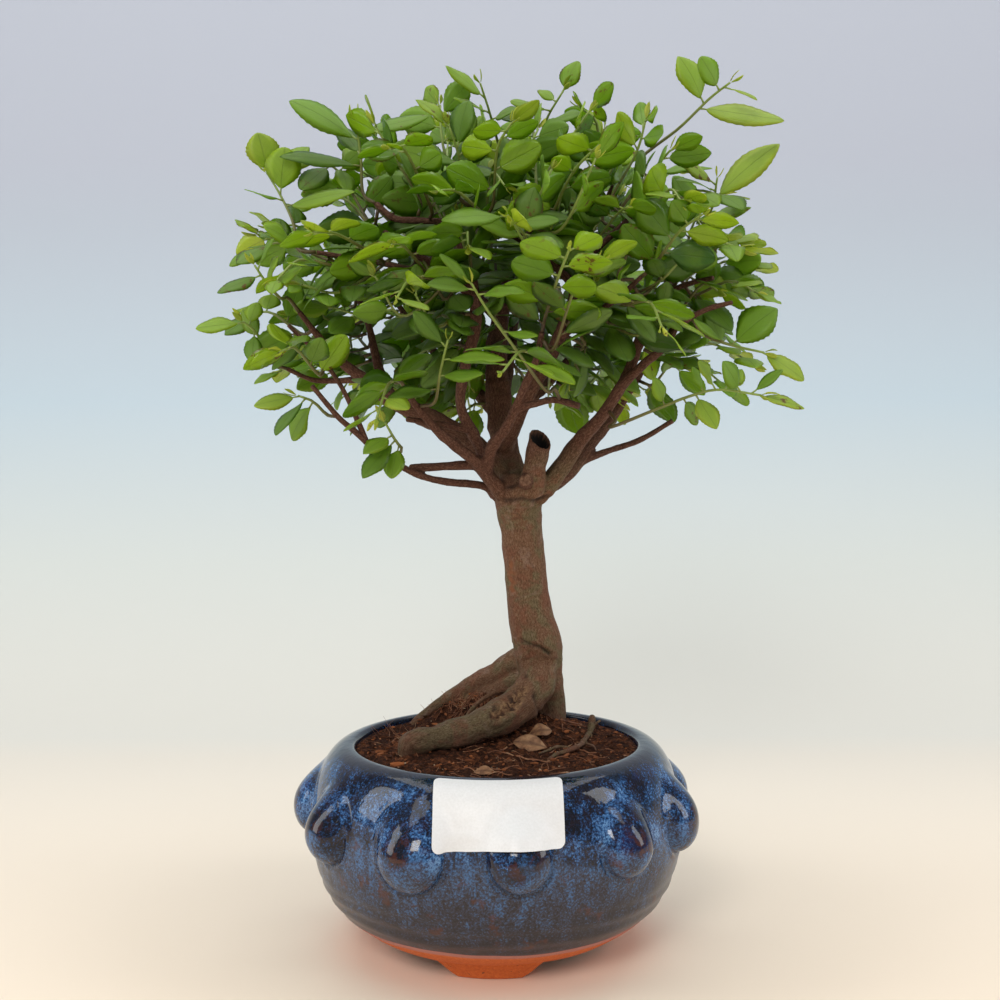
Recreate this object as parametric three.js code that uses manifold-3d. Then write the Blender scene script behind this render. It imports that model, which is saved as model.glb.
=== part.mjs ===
// Sweet plum bonsai in a round glazed pot. Millimetres, Z up, standing on z = 0.
// It is seen from the front along +Y. While it is built, the pot's axis is x = y = 0.
import * as THREE from 'three';
import { mergeVertices } from 'three/addons/utils/BufferGeometryUtils.js';
import Module from 'manifold-3d';

const wasm = await Module();
wasm.setup();

// Pot
const POT_RADIUS = 65;
const POT_WAIST = 40;
const RIM_RADIUS = 51;
const RIM_HEIGHT = 70.5;
const SHOULDER_POWER = 2.3;
const MOUTH_RADIUS = 49.3;
const BASE_RADIUS = 32;
const BASE_HEIGHT = 4;
const FLOOR_HEIGHT = 10;
const DRAIN_RADIUS = 6;
const POT_SIDES = 30;
const KNOBS = 11;
const KNOB_TURN = THREE.MathUtils.degToRad(7);
const KNOB_SIDES = 8;
const KNOB_LEAN = THREE.MathUtils.degToRad(-14);
const KNOB_ROOT = 0.2;
const KNOB_SIZE = { out: 10, across: 11, up: 10.5 };
const KNOB_CENTRE = { radius: 63.5, height: 47.5 };
const FEET = 3;
const FOOT_TURN = THREE.MathUtils.degToRad(-3);
const FOOT = {
  inner: 24, outer: 36, flare: 46, innerTop: 6, top: 9, crown: 2, halfBottom: 10.5, halfTop: 18,
};
const FOOT_CUTTER = { below: 1, above: 12, near: 15, depth: 40 };

// Fits and small pieces
const GAP = 0.3;
const SOIL_GAP = 0.4;
const SOIL_LEVEL = 67;
const SOIL_RADIUS = MOUTH_RADIUS - SOIL_GAP;
const SOIL_DOME = 1.2;
const SOIL_RINGS = [0.16, 0.33, 0.5, 0.66, 0.83, 1];
const NET = { width: 17, thickness: 0.8, holes: 3, bar: 1.6 };
const NET_ROOM = { width: 18, height: 4 };
const LABEL = { width: 42, thickness: 0.6, centre: 1.4, potRadius: 61, columns: 6 };
const LABEL_HEIGHTS = [53.5, 57, 61, 64.2, 67, 69, 70];
const SLOPE_STEP = 0.2;

// Leaves and green stems
const LEAF_THICKNESS = 0.72;
const LEAF_FOLD = 0.22;
const LEAF_ROOT = 1.2;
const LEAF_ROOM = 2;
const LEAST_SWING = THREE.MathUtils.degToRad(30);
const SEAT_RISE = 6;
const SEAT_GAP = 0.25;
const SEAT_SPACING = 3.5;
const LEAST_ONWARD = 0.4;
const LOWEST_SEAT = 170;
const THICKEST_SEAT = 2.2;
const STEM_SIDES = 3;
const STEM_STEP = 11;
const STEM_RADIUS = 0.85;
const STEM_TIP_RADIUS = 0.65;
const STEM_START = 1.5 * SEAT_RISE;
const STEM_SAMPLE_STEP = 2;
const WOOD_SAMPLES_PER_POINT = 5;
const LEAF_CLEARANCE = 2.4;
const SISTER_CLEARANCE = 1.6;
const WOOD_CLEARANCE = 1.1;

// The leafy crown is filled out to this egg-shaped limit, and a few shoots end in its middle
const CROWN = { centre: [3, 2, 226], radii: [91, 82, 70], shoots: 52, lowest: 184 };
const INNER_TIPS = [[8, 24, 208], [-28, 0, 268], [44, 24, 196], [-28, 24, 196]];
const SHOOT_SPACING = 24;
const SEAT_REACH = 30;
const LEAVES_PER_SHOOT = 9;
const LEAF_SPACING = 3.3;
const BARE_STEM = 9;
const STEM_BEND = { share: 0.55, out: 2 };
const STEM_LIFTS = [3, 8, -3, 13, -8, 18, -13];

// A crown leaf's length falls by its taper along the stem; angles are in degrees, and the width is a
// share of the length. Each value is varied by up to its spread.
const CROWN_LEAF = { length: 17.5, taper: 5, last: 11, swing: 54, louvre: 26, width: 0.54 };
const SPREAD = { length: 0.3, swing: 20, louvre: 16, width: 0.14 };
const FACING = { outward: 0.75, front: -0.1, up: 0.75 };
const PLACED_FACING = { sideways: 0.5, front: -0.7, up: 0.7 };

// Wood: each limb is a list of points on its middle line, [x, y, z, radius]
const LIMBS = {
  trunk: [
    [20, 26, 44, 5.5], [20, 26, 60, 5.5], [20, 26, 73, 5.4], [19, 25, 83, 6.2], [16, 22, 93, 8.6],
    [15, 20, 102, 9.1], [13, 19, 110, 8.5], [11.5, 18, 121, 7.8], [10.5, 17, 132, 7.7],
    [9.4, 16, 143, 7.6], [8.5, 15, 152, 8.4], [8.5, 14.5, 158, 9.4], [8.5, 15, 164, 7],
  ],
  front_root: [
    [16, 20, 97, 6.4], [15, 16, 88, 6.3], [9, 10, 81, 6.1], [1, 4, 77.5, 5.5], [-9, -2, 75, 5.1],
    [-18, -5, 73, 4.5], [-26, -8, 72, 4], [-32, -10, 70, 3.2], [-37, -12, 65, 2.2],
  ],
  back_root: [
    [14, 22, 97, 5], [6.5, 26, 94, 4.4], [0, 30, 89, 3.8], [-7, 34, 85, 3.4], [-15, 36, 80, 2.8],
    [-23, 36, 75, 2.3], [-31, 34, 69, 1.8], [-36, 32, 63, 1.4],
  ],
  thin_root: [
    [15, 24.5, 84, 1.2], [6, 24, 83.5, 0.9], [0, 22, 83, 0.9], [-6, 20, 80, 0.8], [-11, 17, 75, 0.8],
    [-14, 15, 66, 0.8],
  ],
  stub: [[10, 9, 155, 4.4], [13, 6, 160, 4.3], [14.3, 2, 168.5, 4], [16, -1, 177, 4.2]],
  front_left: [
    [6, 12, 154, 3.6], [3, 10, 157, 3], [-3, 3, 164.5, 2.5], [-6.5, -2, 169, 2.3], [-13.5, -9, 175, 2],
    [-19, -16, 180, 1.7], [-25.5, -22, 188, 1.2], [-28, -25, 192, 0.9],
  ],
  front_fork: [
    [-3, 3, 165, 2.3], [-1, -6, 174, 2.1], [4, -12, 181, 1.8], [7.5, -18, 188, 1.6], [10, -22, 194, 1.5],
    [14, -25, 203, 1.3], [16, -30, 212, 1],
  ],
  front_twig: [[7, -17, 187, 1.4], [16, -22, 189.5, 1.2], [21, -26, 190, 1.2], [28, -30, 188, 1.1]],
  inner_left: [
    [-2, 5, 164, 2.3], [-4, 2, 171, 2.1], [-8, -3, 180, 2.1], [-11, -7, 186, 1.9], [-11.5, -10, 192, 1.8],
    [-9.5, -12, 203, 2], [-6, -12, 216.5, 2.1], [-7.5, -14, 232, 1.9], [-11, -16, 242, 1.5],
    [-15, -18, 249, 1.2], [-25, -19, 250, 1.3], [-33, -18, 251, 1.2], [-39, -16, 256, 1],
  ],
  inner_twig: [[-9, -4, 180, 1.3], [-19.5, -12, 182.5, 1], [-29, -20, 184, 0.9]],
  crossing_left: [
    [-8, -13, 226, 1.7], [-14, -13, 232, 1.6], [-20, -14, 236, 1.5], [-29, -16, 241, 1.3],
    [-37, -15, 247, 1.1],
  ],
  straight_twig: [[-8, -14, 231, 1.2], [-16, -16, 231.5, 1], [-38, -20, 236, 0.9], [-58, -25, 239, 0.7]],
  long_left: [
    [7, 15, 156, 5], [4, 16, 162, 3.6], [-1, 18, 168.5, 3.6], [-11.5, 14, 178, 3.6], [-26, 8, 185.5, 3.5],
    [-36, 2, 191, 3.1], [-44.5, -3, 197.5, 2.4], [-52, -8, 203.5, 1.7], [-59.5, -14, 212.5, 1.2],
    [-65, -18, 220, 0.9],
  ],
  left_twig: [[-45, -3.5, 198, 1.4], [-56, -1, 197.5, 0.9], [-63.5, -4, 198, 0.9], [-71, -8, 201.5, 0.7]],
  left_spur: [
    [-35, 5, 190, 2.4], [-40, 10, 198, 2], [-43, 13, 208, 1.6], [-46, 16, 220, 1.2], [-52, 20, 234, 0.9],
  ],
  low_left: [
    [0, 14, 157, 2.4], [-4, 10, 160, 1.6], [-17, 2, 162, 1.4], [-23.5, -2, 163.5, 1.3], [-29, -6, 166, 1.3],
    [-38.5, -14, 172, 1.2], [-46, -20, 179.5, 1.1], [-51.5, -26, 185, 1], [-59, -32, 195, 0.8],
  ],
  low_left_twig: [
    [-43, -17.5, 176.5, 1], [-48.5, -24, 191, 0.8], [-52.5, -26, 198.5, 0.7], [-57.5, -30, 205.5, 0.7],
    [-66, -35, 214.5, 0.6],
  ],
  cut_twig: [[-4, 2, 168, 2], [-10, 1, 167.8, 1.7], [-20, 0, 167.4, 1.6], [-30, -2, 167, 1.4]],
  right: [
    [11, 12, 155, 5], [16.5, 10, 158, 3.8], [22.5, 8, 165, 3.5], [27, 6, 172, 3.1], [31, 4, 177.5, 2.7],
    [38, 0, 185.5, 2.2], [44.5, -4, 195.5, 1.9], [52, -8, 203, 1.7], [57.5, -12, 208, 1.4],
    [64, -18, 219, 1.2],
  ],
  right_tip: [[60, -14, 213, 1.2], [66, -20, 217.5, 1], [71.5, -24, 220, 0.9], [78, -29, 221.5, 0.7]],
  right_back: [
    [11, 17, 155, 5], [16, 18, 158, 3.2], [23, 20, 161, 2.7], [31, 26, 168.5, 2.5], [36, 32, 175, 2.3],
    [44, 40, 184.5, 2.1], [55.5, 49, 202, 1.8], [62, 54, 214, 1.4],
  ],
  right_back_low: [[31, 26, 168, 1.8], [42, 30, 172, 1.2], [54, 32, 176, 1.1], [66, 32, 183, 0.9]],
  leader: [
    [8, 15, 157, 6], [7, 18, 163, 4.9], [4, 24, 172, 4.8], [2, 26, 182.5, 4.8], [1, 28, 194, 4.6],
    [0.5, 30, 209, 4],
    [3, 30, 227.5, 3], [6.5, 30, 246, 2.2], [8.5, 27, 264, 1.5], [10, 22, 276, 1],
  ],
  twisted: [
    [3, 22, 172, 3], [6.5, 12, 180, 2.6], [11.5, 6, 191.5, 2.5], [18.5, 2, 203.5, 2.5], [24, -2, 215.5, 2.4],
    [28, -4, 227, 2.3], [24, -8, 234, 2.1], [16.5, -12, 239, 1.9], [8, -17, 245, 1.7],
    [-1.5, -22, 248, 1.3], [-7, -25, 253, 1],
  ],
  front_right_twig: [[24, -3, 213, 1.6], [33.5, -12, 219, 1], [41, -20, 223.5, 1], [48.5, -28, 230, 0.8]],
  upper_twig: [[26, -5, 232, 1.5], [35, -12, 241, 1.2], [45, -18, 250, 0.9], [50, -20, 256, 0.8]],
  right_riser: [
    [43, -3, 193.5, 1.8], [47, -1, 201, 2], [50, 1, 209, 2.1], [55, 4, 219.5, 2.1], [58, 6, 225, 1.9],
    [63, 10, 234.5, 1.6], [67, 12, 244, 1.2],
  ],
  right_riser_twig: [[56, 4, 222, 1.5], [62, -2, 228, 1], [67.5, -7, 230, 0.9], [74, -14, 231, 0.8]],
  centre_back: [[1.5, 27, 190, 3], [4, 38, 199, 2.4], [6, 50, 212, 2], [8, 58, 228, 1.5], [9, 62, 242, 1]],
  back_left: [
    [1, 27, 186, 3], [-8, 36, 195, 2.2], [-20, 46, 206, 1.8], [-33, 52, 221, 1.4], [-42, 54, 236, 1],
  ],
  left_back: [
    [-24, 9, 184, 2.6], [-32, 20, 190, 2], [-42, 30, 197, 1.7], [-54, 36, 206, 1.3], [-63, 38, 217, 0.9],
  ],
  crown_left: [
    [2, 29, 221, 2.4], [-10, 28, 232, 1.8], [-22, 24, 244, 1.5], [-32, 20, 258, 1.1], [-37, 16, 268, 0.8],
  ],
  crown_right: [
    [4, 30, 228, 2.4], [16, 27, 238, 1.8], [28, 22, 248, 1.5], [39, 15, 260, 1.1], [44, 8, 270, 0.8],
  ],
  back_right: [
    [2.5, 27, 181, 3], [12, 36, 190, 2.2], [24, 46, 202, 1.8], [36, 54, 218, 1.4], [42, 57, 232, 1],
  ],
};
const STUB_HOLE = { depth: 4, above: 2, bottom: 1.8, top: 3, sides: 6 };
const LIMB_SIDES = { trunk: 9, front_root: 7, thin_root: 3, stub: 6 };
const USUAL_LIMB_SIDES = 5;
const ROOTS = ['trunk', 'front_root', 'back_root', 'thin_root'];

// Shoots with a place of their own: points on the stem, then leaves as
// [share of the stem, x, y, z of the blade from base to tip, width of the blade]
const PLACED_SHOOTS = [
  { name: 'top_left', route: [[-43, -12, 259], [-44, -16, 271], [-45, -20, 282]],
    leaves: [
      [0.8, -18, -6, 11, 11], [0.97, -1, 0, 8, 4], [0.86, 23, 4, 6, 8.5], [0.4, -25, -8, 3, 9],
      [0.55, -8, 7, 11, 8],
    ] },
  { name: 'left_upper', route: [[-66, -22, 249], [-71, -17, 259], [-76, -14, 267]],
    leaves: [
      [1, -2, -3, 12, 11.5], [0.78, 9, 5, 12, 9], [0.5, 2, -3, 13, 11], [0.45, -10, -6, 2, 8],
      [0.3, 20, -8, 3, 8],
    ] },
  { name: 'left_tip', route: [[-70, -26, 224], [-74, -30, 229], [-77, -33, 234]],
    leaves: [[0.7, -12, -6, -6, 6], [0.85, 5, -4, 10, 6], [0.5, 2, -5, 9, 8], [0.35, 10, -6, 5, 8]] },
  { name: 'left_low_tip', route: [[-74, -10, 208], [-80, -14, 213], [-84, -18, 217]],
    leaves: [[1, -13, -3, -2, 7], [0.8, 2, 4, 8, 6], [0.6, 0, -4, -9, 6], [0.4, -6, 5, 9, 6]] },
  { name: 'left_bottom', route: [[-55, -22, 186], [-60, -23, 190], [-65, -24, 192]],
    leaves: [[1, -14, -4, -3, 7.5], [0.75, -12, -8, -8, 8], [0.5, -8, 3, -11, 10], [0.25, -4, -9, -6, 8]] },
  { name: 'low_front_left', route: [[-30, -16, 173], [-33, -21, 177], [-36, -25, 183]],
    leaves: [
      [0.95, -6, -3, 7, 9], [0.75, -9, -6, -5, 8.5], [0.5, -9, -7, -10, 7.5], [0.3, -2, -5, -9, 7],
      [1, 5, -2, 7, 6],
    ] },
  { name: 'front_arch', route: [[17, -36, 193], [8, -44, 205], [-1, -51, 217], [-6, -59, 225]],
    leaves: [
      [1, -7, -5, 8, 4], [0.93, -13, -4, 2, 7.5], [0.9, 12, -6, 1, 6.5], [0.5, 10, -7, -2, 5],
      [0.38, -9, -5, 9, 10], [0.25, 14, -8, -5, 6],
    ] },
  { name: 'centre_left', route: [[-20, -26, 188], [-17, -36, 199], [-14, -45, 209]],
    leaves: [
      [0.95, -9, -4, 10, 8], [1, 5, -2, 10, 4], [0.7, 18, -8, 1, 6], [0.45, 14, -9, 0, 6],
      [0.25, -15, -8, -2, 7],
    ] },
  { name: 'right_low',
    route: [[40, -12, 181], [54, -26, 187], [64, -31, 191], [73, -36, 193], [85, -43, 191]],
    leaves: [
      [0.3, -3, -3, 8, 6], [0.42, -4, -2, 7, 6], [0.45, 5, 4, -8, 7], [0.55, 6, -4, -11, 9.5],
      [0.62, -4, -2, 8, 4], [0.72, -5, -5, 8, 7], [0.78, 6, 5, 6, 6], [0.88, -6, -5, 9, 8],
      [0.98, 9, -4, 5, 5], [1, 13, -4, -3, 5],
    ] },
  { name: 'right_mid', route: [[72, -18, 211], [79, -22, 208], [88, -32, 205]],
    leaves: [
      [0.5, 12, -4, 11, 13], [0.9, 7, -3, 15, 8.5], [1, 12, -6, -8, 8], [0.6, 5, -6, -8, 5],
      [0.4, -11, -6, 7, 6],
    ] },
  { name: 'upper_right', route: [[49, -12, 270], [62, -18, 280], [71, -24, 288], [77, -29, 292]],
    leaves: [
      [0.35, 11, -4, 12, 10], [0.6, -7, -2, 14, 13], [0.57, 23, -6, -5, 10], [0.82, -6, -4, 9, 8],
      [0.9, 11, -4, -2, 7], [1, 3, -1, 7, 3], [0.2, 14, -5, 3, 8],
    ] },
  { name: 'right_top', route: [[72, 4, 248], [74, -8, 254], [75, -16, 264]],
    leaves: [
      [0.7, 17, -5, 15, 12], [1, -14, -4, 10, 9.5], [0.85, -14, -7, 8, 8], [0.4, 12, -6, 2, 7],
      [0.35, -11, -6, 15, 12], [0.2, 14, -5, -5, 9], [1, 4, -2, 8, 4],
    ] },
  { name: 'top_yellow', route: [[16, 6, 281], [19, -1, 288], [24, -7, 295]],
    leaves: [
      [1, 5, -2, 10, 10], [0.9, 8, -3, 1, 5], [0.8, -6, 3, 5, 5], [0.6, -12, -4, 2, 6], [0.4, 11, -6, 1, 8],
      [0.3, -13, -7, 2, 8],
    ] },
  { name: 'top_centre_left', route: [[2, 6, 279], [-1, -6, 288], [-4, -14, 296]],
    leaves: [
      [0.75, -12, -4, 9, 6.5], [1, -3, -1, 8, 6], [0.5, -10, -5, 7, 7], [0.4, 9, -6, 4, 7],
      [0.25, 10, -6, -1, 8],
    ] },
  { name: 'top_spotted', route: [[-10, -22, 262], [-11, -26, 270], [-14, -30, 279]],
    leaves: [
      [1, -8, -3, 9, 6], [0.6, 1, -4, 13, 12], [0.5, 9, -2, 9, 8], [0.4, -12, -6, 2, 8],
      [0.25, 9, -7, -2, 8],
    ] },
  { name: 'front_big', route: [[12, -30, 240], [10, -44, 242], [5, -56, 246]],
    leaves: [
      [1, -17, -7, -1, 10], [0.8, 12, -6, 0, 7], [0.6, 4, -3, 12, 9], [0.5, 11, -8, -4, 9],
      [0.35, -13, -6, 5, 9],
    ] },
];

// A repeatable draw between 0 and 1
function seededDraw(seed) {
  let state = seed >>> 0;
  return () => {
    state = (Math.imul(state, 1664525) + 1013904223) >>> 0;
    return state / 4294967296;
  };
}

const vector = (point) => new THREE.Vector3(point[0], point[1], point[2]);

// The part of one direction that stands square to another, as a unit vector
function squareTo(direction, axis) {
  return direction.clone().addScaledVector(axis, -direction.dot(axis)).normalize();
}

function smoothCurve(points) {
  return new THREE.CatmullRomCurve3(points, false, 'catmullrom', 0.5);
}

// Closed geometries become solids, turned so that their faces point out
function solidOf(geometry) {
  let shape = geometry.clone();
  shape.deleteAttribute('normal');
  shape.deleteAttribute('uv');
  shape = mergeVertices(shape, 1e-4);
  const place = shape.getAttribute('position');
  const corners = Array.from(shape.index.array);
  const triangles = [];
  let volume = 0;
  const [a, b, c] = [new THREE.Vector3(), new THREE.Vector3(), new THREE.Vector3()];
  for (let i = 0; i < corners.length; i += 3) {
    const [p, q, r] = corners.slice(i, i + 3);
    if (p === q || q === r || r === p) continue;
    triangles.push(p, q, r);
    a.fromBufferAttribute(place, p);
    b.fromBufferAttribute(place, q);
    c.fromBufferAttribute(place, r);
    volume += a.dot(b.cross(c));
  }
  if (volume < 0) triangles.reverse();
  return new wasm.Manifold(new wasm.Mesh({
    numProp: 3,
    vertProperties: new Float32Array(place.array),
    triVerts: new Uint32Array(triangles),
  }));
}

function joined(solids) {
  return solids.reduce((whole, solid) => whole.add(solid));
}

function largestPiece(solid) {
  return solid.decompose().sort((one, other) => other.volume() - one.volume())[0];
}

function meshNamed(name, solid, finish) {
  const mesh = solid.getMesh();
  const geometry = new THREE.BufferGeometry();
  geometry.setAttribute('position', new THREE.BufferAttribute(new Float32Array(mesh.vertProperties), 3));
  geometry.setIndex(new THREE.BufferAttribute(new Uint32Array(mesh.triVerts), 1));
  geometry.computeVertexNormals();
  const made = new THREE.Mesh(geometry, new THREE.MeshStandardMaterial(finish));
  made.name = name;
  return made;
}

function geometryFrom(vertices, triangles) {
  const geometry = new THREE.BufferGeometry();
  const places = vertices.flatMap((v) => [v.x, v.y, v.z]);
  geometry.setAttribute('position', new THREE.Float32BufferAttribute(places, 3));
  geometry.setIndex(triangles);
  return geometry;
}

// A ring of corners round a smooth route, the first of them in a given direction
function ringAt(curve, share, across, radius, sides) {
  const other = curve.getTangent(share).cross(across);
  return Array.from({ length: sides }, (_, k) => {
    const angle = (k / sides) * 2 * Math.PI;
    return curve.getPoint(share)
      .addScaledVector(across, radius * Math.cos(angle))
      .addScaledVector(other, radius * Math.sin(angle));
  });
}

// The closed skin over a row of rings; a side that is open is left for something to grow from
function tubeSkin(rings, isOpen = () => false) {
  const vertices = rings.flat();
  const sides = rings[0].length;
  const last = rings.length - 1;
  const triangles = [];
  for (let i = 0; i < last; i++) {
    for (let k = 0; k < sides; k++) {
      if (isOpen(i, k)) continue;
      const [a, b, c, d] = sideCorners(i, k, sides);
      const isShort = vertices[a].distanceTo(vertices[c]) < vertices[b].distanceTo(vertices[d]);
      triangles.push(...(isShort ? [a, b, c, a, c, d] : [a, b, d, b, c, d]));
    }
  }
  for (let k = 1; k < sides - 1; k++) {
    triangles.push(0, k + 1, k);
    triangles.push(last * sides, last * sides + k, last * sides + k + 1);
  }
  return { vertices, triangles };
}

function sideCorners(ring, side, sides) {
  const next = (side + 1) % sides;
  return [ring * sides + side, ring * sides + next, (ring + 1) * sides + next, (ring + 1) * sides + side];
}

// A direction that no tube runs along, from which its rings are turned as little as they can be
const FIRST_ACROSS = new THREE.Vector3(0.31, 0.87, 0.38);

const evenStops = (steps) => Array.from({ length: steps + 1 }, (_, i) => i / steps);

// A closed tube along a smooth route, with a radius for each of its points
function taperedTube(points, radii, sides, steps) {
  const radiusAt = (share) => {
    const place = share * (radii.length - 1);
    const first = Math.min(Math.floor(place), radii.length - 2);
    return THREE.MathUtils.lerp(radii[first], radii[first + 1], place - first);
  };
  const curve = smoothCurve(points);
  let across = FIRST_ACROSS;
  const rings = evenStops(steps).map((share) => {
    across = squareTo(across, curve.getTangent(share));
    return ringAt(curve, share, across, radiusAt(share), sides);
  });
  const { vertices, triangles } = tubeSkin(rings);
  return geometryFrom(vertices, triangles);
}

// Pot
const OUTSIDE_HEIGHTS = [BASE_HEIGHT, 8, 16, 27, POT_WAIST, 53, 62, 67.5, 70];
const POT_INSIDE = [
  [MOUTH_RADIUS, 68.5], [MOUTH_RADIUS, 66.5], [56, 57], [59.5, 43], [57, 26], [45, 13],
  [34, FLOOR_HEIGHT], [DRAIN_RADIUS, FLOOR_HEIGHT],
];

function potRadiusAt(height) {
  if (height >= POT_WAIST) {
    const rise = (height - POT_WAIST) / (RIM_HEIGHT - POT_WAIST);
    const share = Math.pow(Math.max(0, 1 - Math.pow(rise, SHOULDER_POWER)), 1 / SHOULDER_POWER);
    return RIM_RADIUS + (POT_RADIUS - RIM_RADIUS) * share;
  }
  const drop = (POT_WAIST - height) / (POT_WAIST - BASE_HEIGHT);
  return BASE_RADIUS + (POT_RADIUS - BASE_RADIUS) * Math.sqrt(Math.max(0, 1 - drop * drop));
}

function potProfile() {
  const outside = OUTSIDE_HEIGHTS.map((z) => [potRadiusAt(z), z]);
  const inside = [[RIM_RADIUS, RIM_HEIGHT], ...POT_INSIDE, [DRAIN_RADIUS, BASE_HEIGHT]];
  const points = [...outside, ...inside].map(([r, z]) => new THREE.Vector2(r, z));
  return [...points, points[0].clone()];
}

// A knob is half an egg, with a shallow cone behind it that stays inside the wall
function knobSolid(turn, growth = 0) {
  const arc = [0, 0.33, 0.66, 1].map((share) => share * Math.PI / 2);
  const half = arc.map((angle) => new THREE.Vector2(Math.cos(angle), Math.sin(angle)));
  const ball = new THREE.LatheGeometry([new THREE.Vector2(0, -KNOB_ROOT), ...half], KNOB_SIDES);
  ball.rotateZ(-Math.PI / 2);
  ball.scale(KNOB_SIZE.out + growth, KNOB_SIZE.across + growth, KNOB_SIZE.up + growth);
  ball.rotateY(KNOB_LEAN);
  ball.translate(KNOB_CENTRE.radius, 0, KNOB_CENTRE.height);
  ball.rotateZ(turn);
  return solidOf(ball);
}

const knobTurns = evenStops(KNOBS).slice(1).map((share) => share * 2 * Math.PI - Math.PI / 2 + KNOB_TURN);

function footSolid(turn) {
  const ring = [
    [FOOT.inner, 0], [FOOT.outer, 0], [FOOT.flare, FOOT.top],
    [FOOT.flare - FOOT.innerTop, FOOT.top + FOOT.crown], [FOOT.inner, FOOT.innerTop], [FOOT.inner, 0],
  ].map(([r, z]) => new THREE.Vector2(r, z));
  const { below, above, near, depth } = FOOT_CUTTER;
  const wedge = new THREE.ExtrudeGeometry(new THREE.Shape([
    new THREE.Vector2(-FOOT.halfBottom, -below), new THREE.Vector2(FOOT.halfBottom, -below),
    new THREE.Vector2(FOOT.halfTop, above), new THREE.Vector2(-FOOT.halfTop, above),
  ]), { depth, bevelEnabled: false });
  wedge.rotateX(Math.PI / 2);
  wedge.translate(0, -near, 0);
  wedge.rotateZ(turn);
  return solidOf(latheUp(ring, POT_SIDES)).intersect(solidOf(wedge));
}

// A lathe spins about three's Y axis, so it is stood up
function latheUp(profile, sides) {
  return new THREE.LatheGeometry(profile, sides).rotateX(Math.PI / 2);
}

function potSolid() {
  const knobs = knobTurns.map((turn) => knobSolid(turn));
  const feet = Array.from({ length: FEET }, (_, i) => footSolid(FOOT_TURN + (i * 2 * Math.PI) / FEET));
  return joined([solidOf(latheUp(potProfile(), POT_SIDES)), ...knobs, ...feet]);
}

function netSolid() {
  const bottom = FLOOR_HEIGHT + GAP;
  const middle = bottom + NET.thickness / 2;
  const slab = new THREE.BoxGeometry(NET.width, NET.width, NET.thickness).translate(0, 0, middle);
  const pitch = (NET.width - NET.bar) / NET.holes;
  let net = solidOf(slab);
  for (let i = 0; i < NET.holes; i++) {
    for (let j = 0; j < NET.holes; j++) {
      const hole = new THREE.BoxGeometry(pitch - NET.bar, pitch - NET.bar, 4 * NET.thickness);
      const offset = (n) => (n - (NET.holes - 1) / 2) * pitch;
      net = net.subtract(solidOf(hole.translate(offset(i), offset(j), middle)));
    }
  }
  return net;
}

// Soil
const RIDGE = { from: [2, 30], to: [-19, 35], height: 8.5, spread: 7 };
const MOUND = { centre: [13, 25], height: 7, spread: 13 };

function distanceToRidge(x, y) {
  const [dx, dy] = [RIDGE.to[0] - RIDGE.from[0], RIDGE.to[1] - RIDGE.from[1]];
  const along = ((x - RIDGE.from[0]) * dx + (y - RIDGE.from[1]) * dy) / (dx * dx + dy * dy);
  const share = Math.min(1, Math.max(0, along));
  return Math.hypot(x - RIDGE.from[0] - share * dx, y - RIDGE.from[1] - share * dy);
}

function soilHeight(x, y) {
  const out = Math.min(1, Math.hypot(x, y) / SOIL_RADIUS);
  const fromMound = Math.hypot(x - MOUND.centre[0], y - MOUND.centre[1]);
  const mound = MOUND.height * Math.exp(-(fromMound ** 2) / (2 * MOUND.spread ** 2));
  const ridge = RIDGE.height * Math.exp(-(distanceToRidge(x, y) ** 2) / (2 * RIDGE.spread ** 2));
  const lumps = 0.5 * Math.sin(0.43 * x + 1) * Math.sin(0.51 * y + 2) + 0.3 * Math.sin(0.9 * x - 0.7 * y);
  const edge = 1 - Math.pow(out, 6);
  return SOIL_LEVEL + SOIL_DOME * (1 - out * out) + (Math.max(mound, ridge) + lumps) * edge;
}

function soilBody() {
  const surface = SOIL_RINGS.map((share) => share * SOIL_RADIUS);
  const below = POT_INSIDE.slice(2, -1).map(([radius, height]) => [radius - SOIL_GAP, height + GAP]);
  const vertices = [new THREE.Vector3(0, 0, soilHeight(0, 0))];
  const ringOf = (radius, height) => {
    for (let k = 0; k < POT_SIDES; k++) {
      const angle = (k / POT_SIDES) * 2 * Math.PI - Math.PI / 2;
      const [x, y] = [radius * Math.cos(angle), radius * Math.sin(angle)];
      vertices.push(new THREE.Vector3(x, y, height ?? soilHeight(x, y)));
    }
  };
  surface.forEach((radius) => ringOf(radius));
  below.forEach(([radius, height]) => ringOf(radius, height));
  vertices.push(new THREE.Vector3(0, 0, FLOOR_HEIGHT + GAP));
  const count = surface.length + below.length;
  const last = vertices.length - 1;
  const triangles = [];
  for (let k = 0; k < POT_SIDES; k++) {
    const next = (k + 1) % POT_SIDES;
    triangles.push(0, 1 + k, 1 + next);
    for (let i = 0; i < count - 1; i++) {
      const [a, b] = [1 + i * POT_SIDES + k, 1 + i * POT_SIDES + next];
      triangles.push(a, a + POT_SIDES, b + POT_SIDES, a, b + POT_SIDES, b);
    }
    triangles.push(last, 1 + (count - 1) * POT_SIDES + next, 1 + (count - 1) * POT_SIDES + k);
  }
  return solidOf(geometryFrom(vertices, triangles));
}

// Wood
function limbSolid(name, growth = 0) {
  const points = LIMBS[name];
  const sides = LIMB_SIDES[name] ?? USUAL_LIMB_SIDES;
  const radii = points.map((point) => point[3] + growth);
  const route = points.map(vector);
  const onward = route.at(-1).clone().sub(route.at(-2)).setLength(growth);
  route.at(-1).add(onward);
  return solidOf(taperedTube(route, radii, sides, points.length - 1));
}

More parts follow.
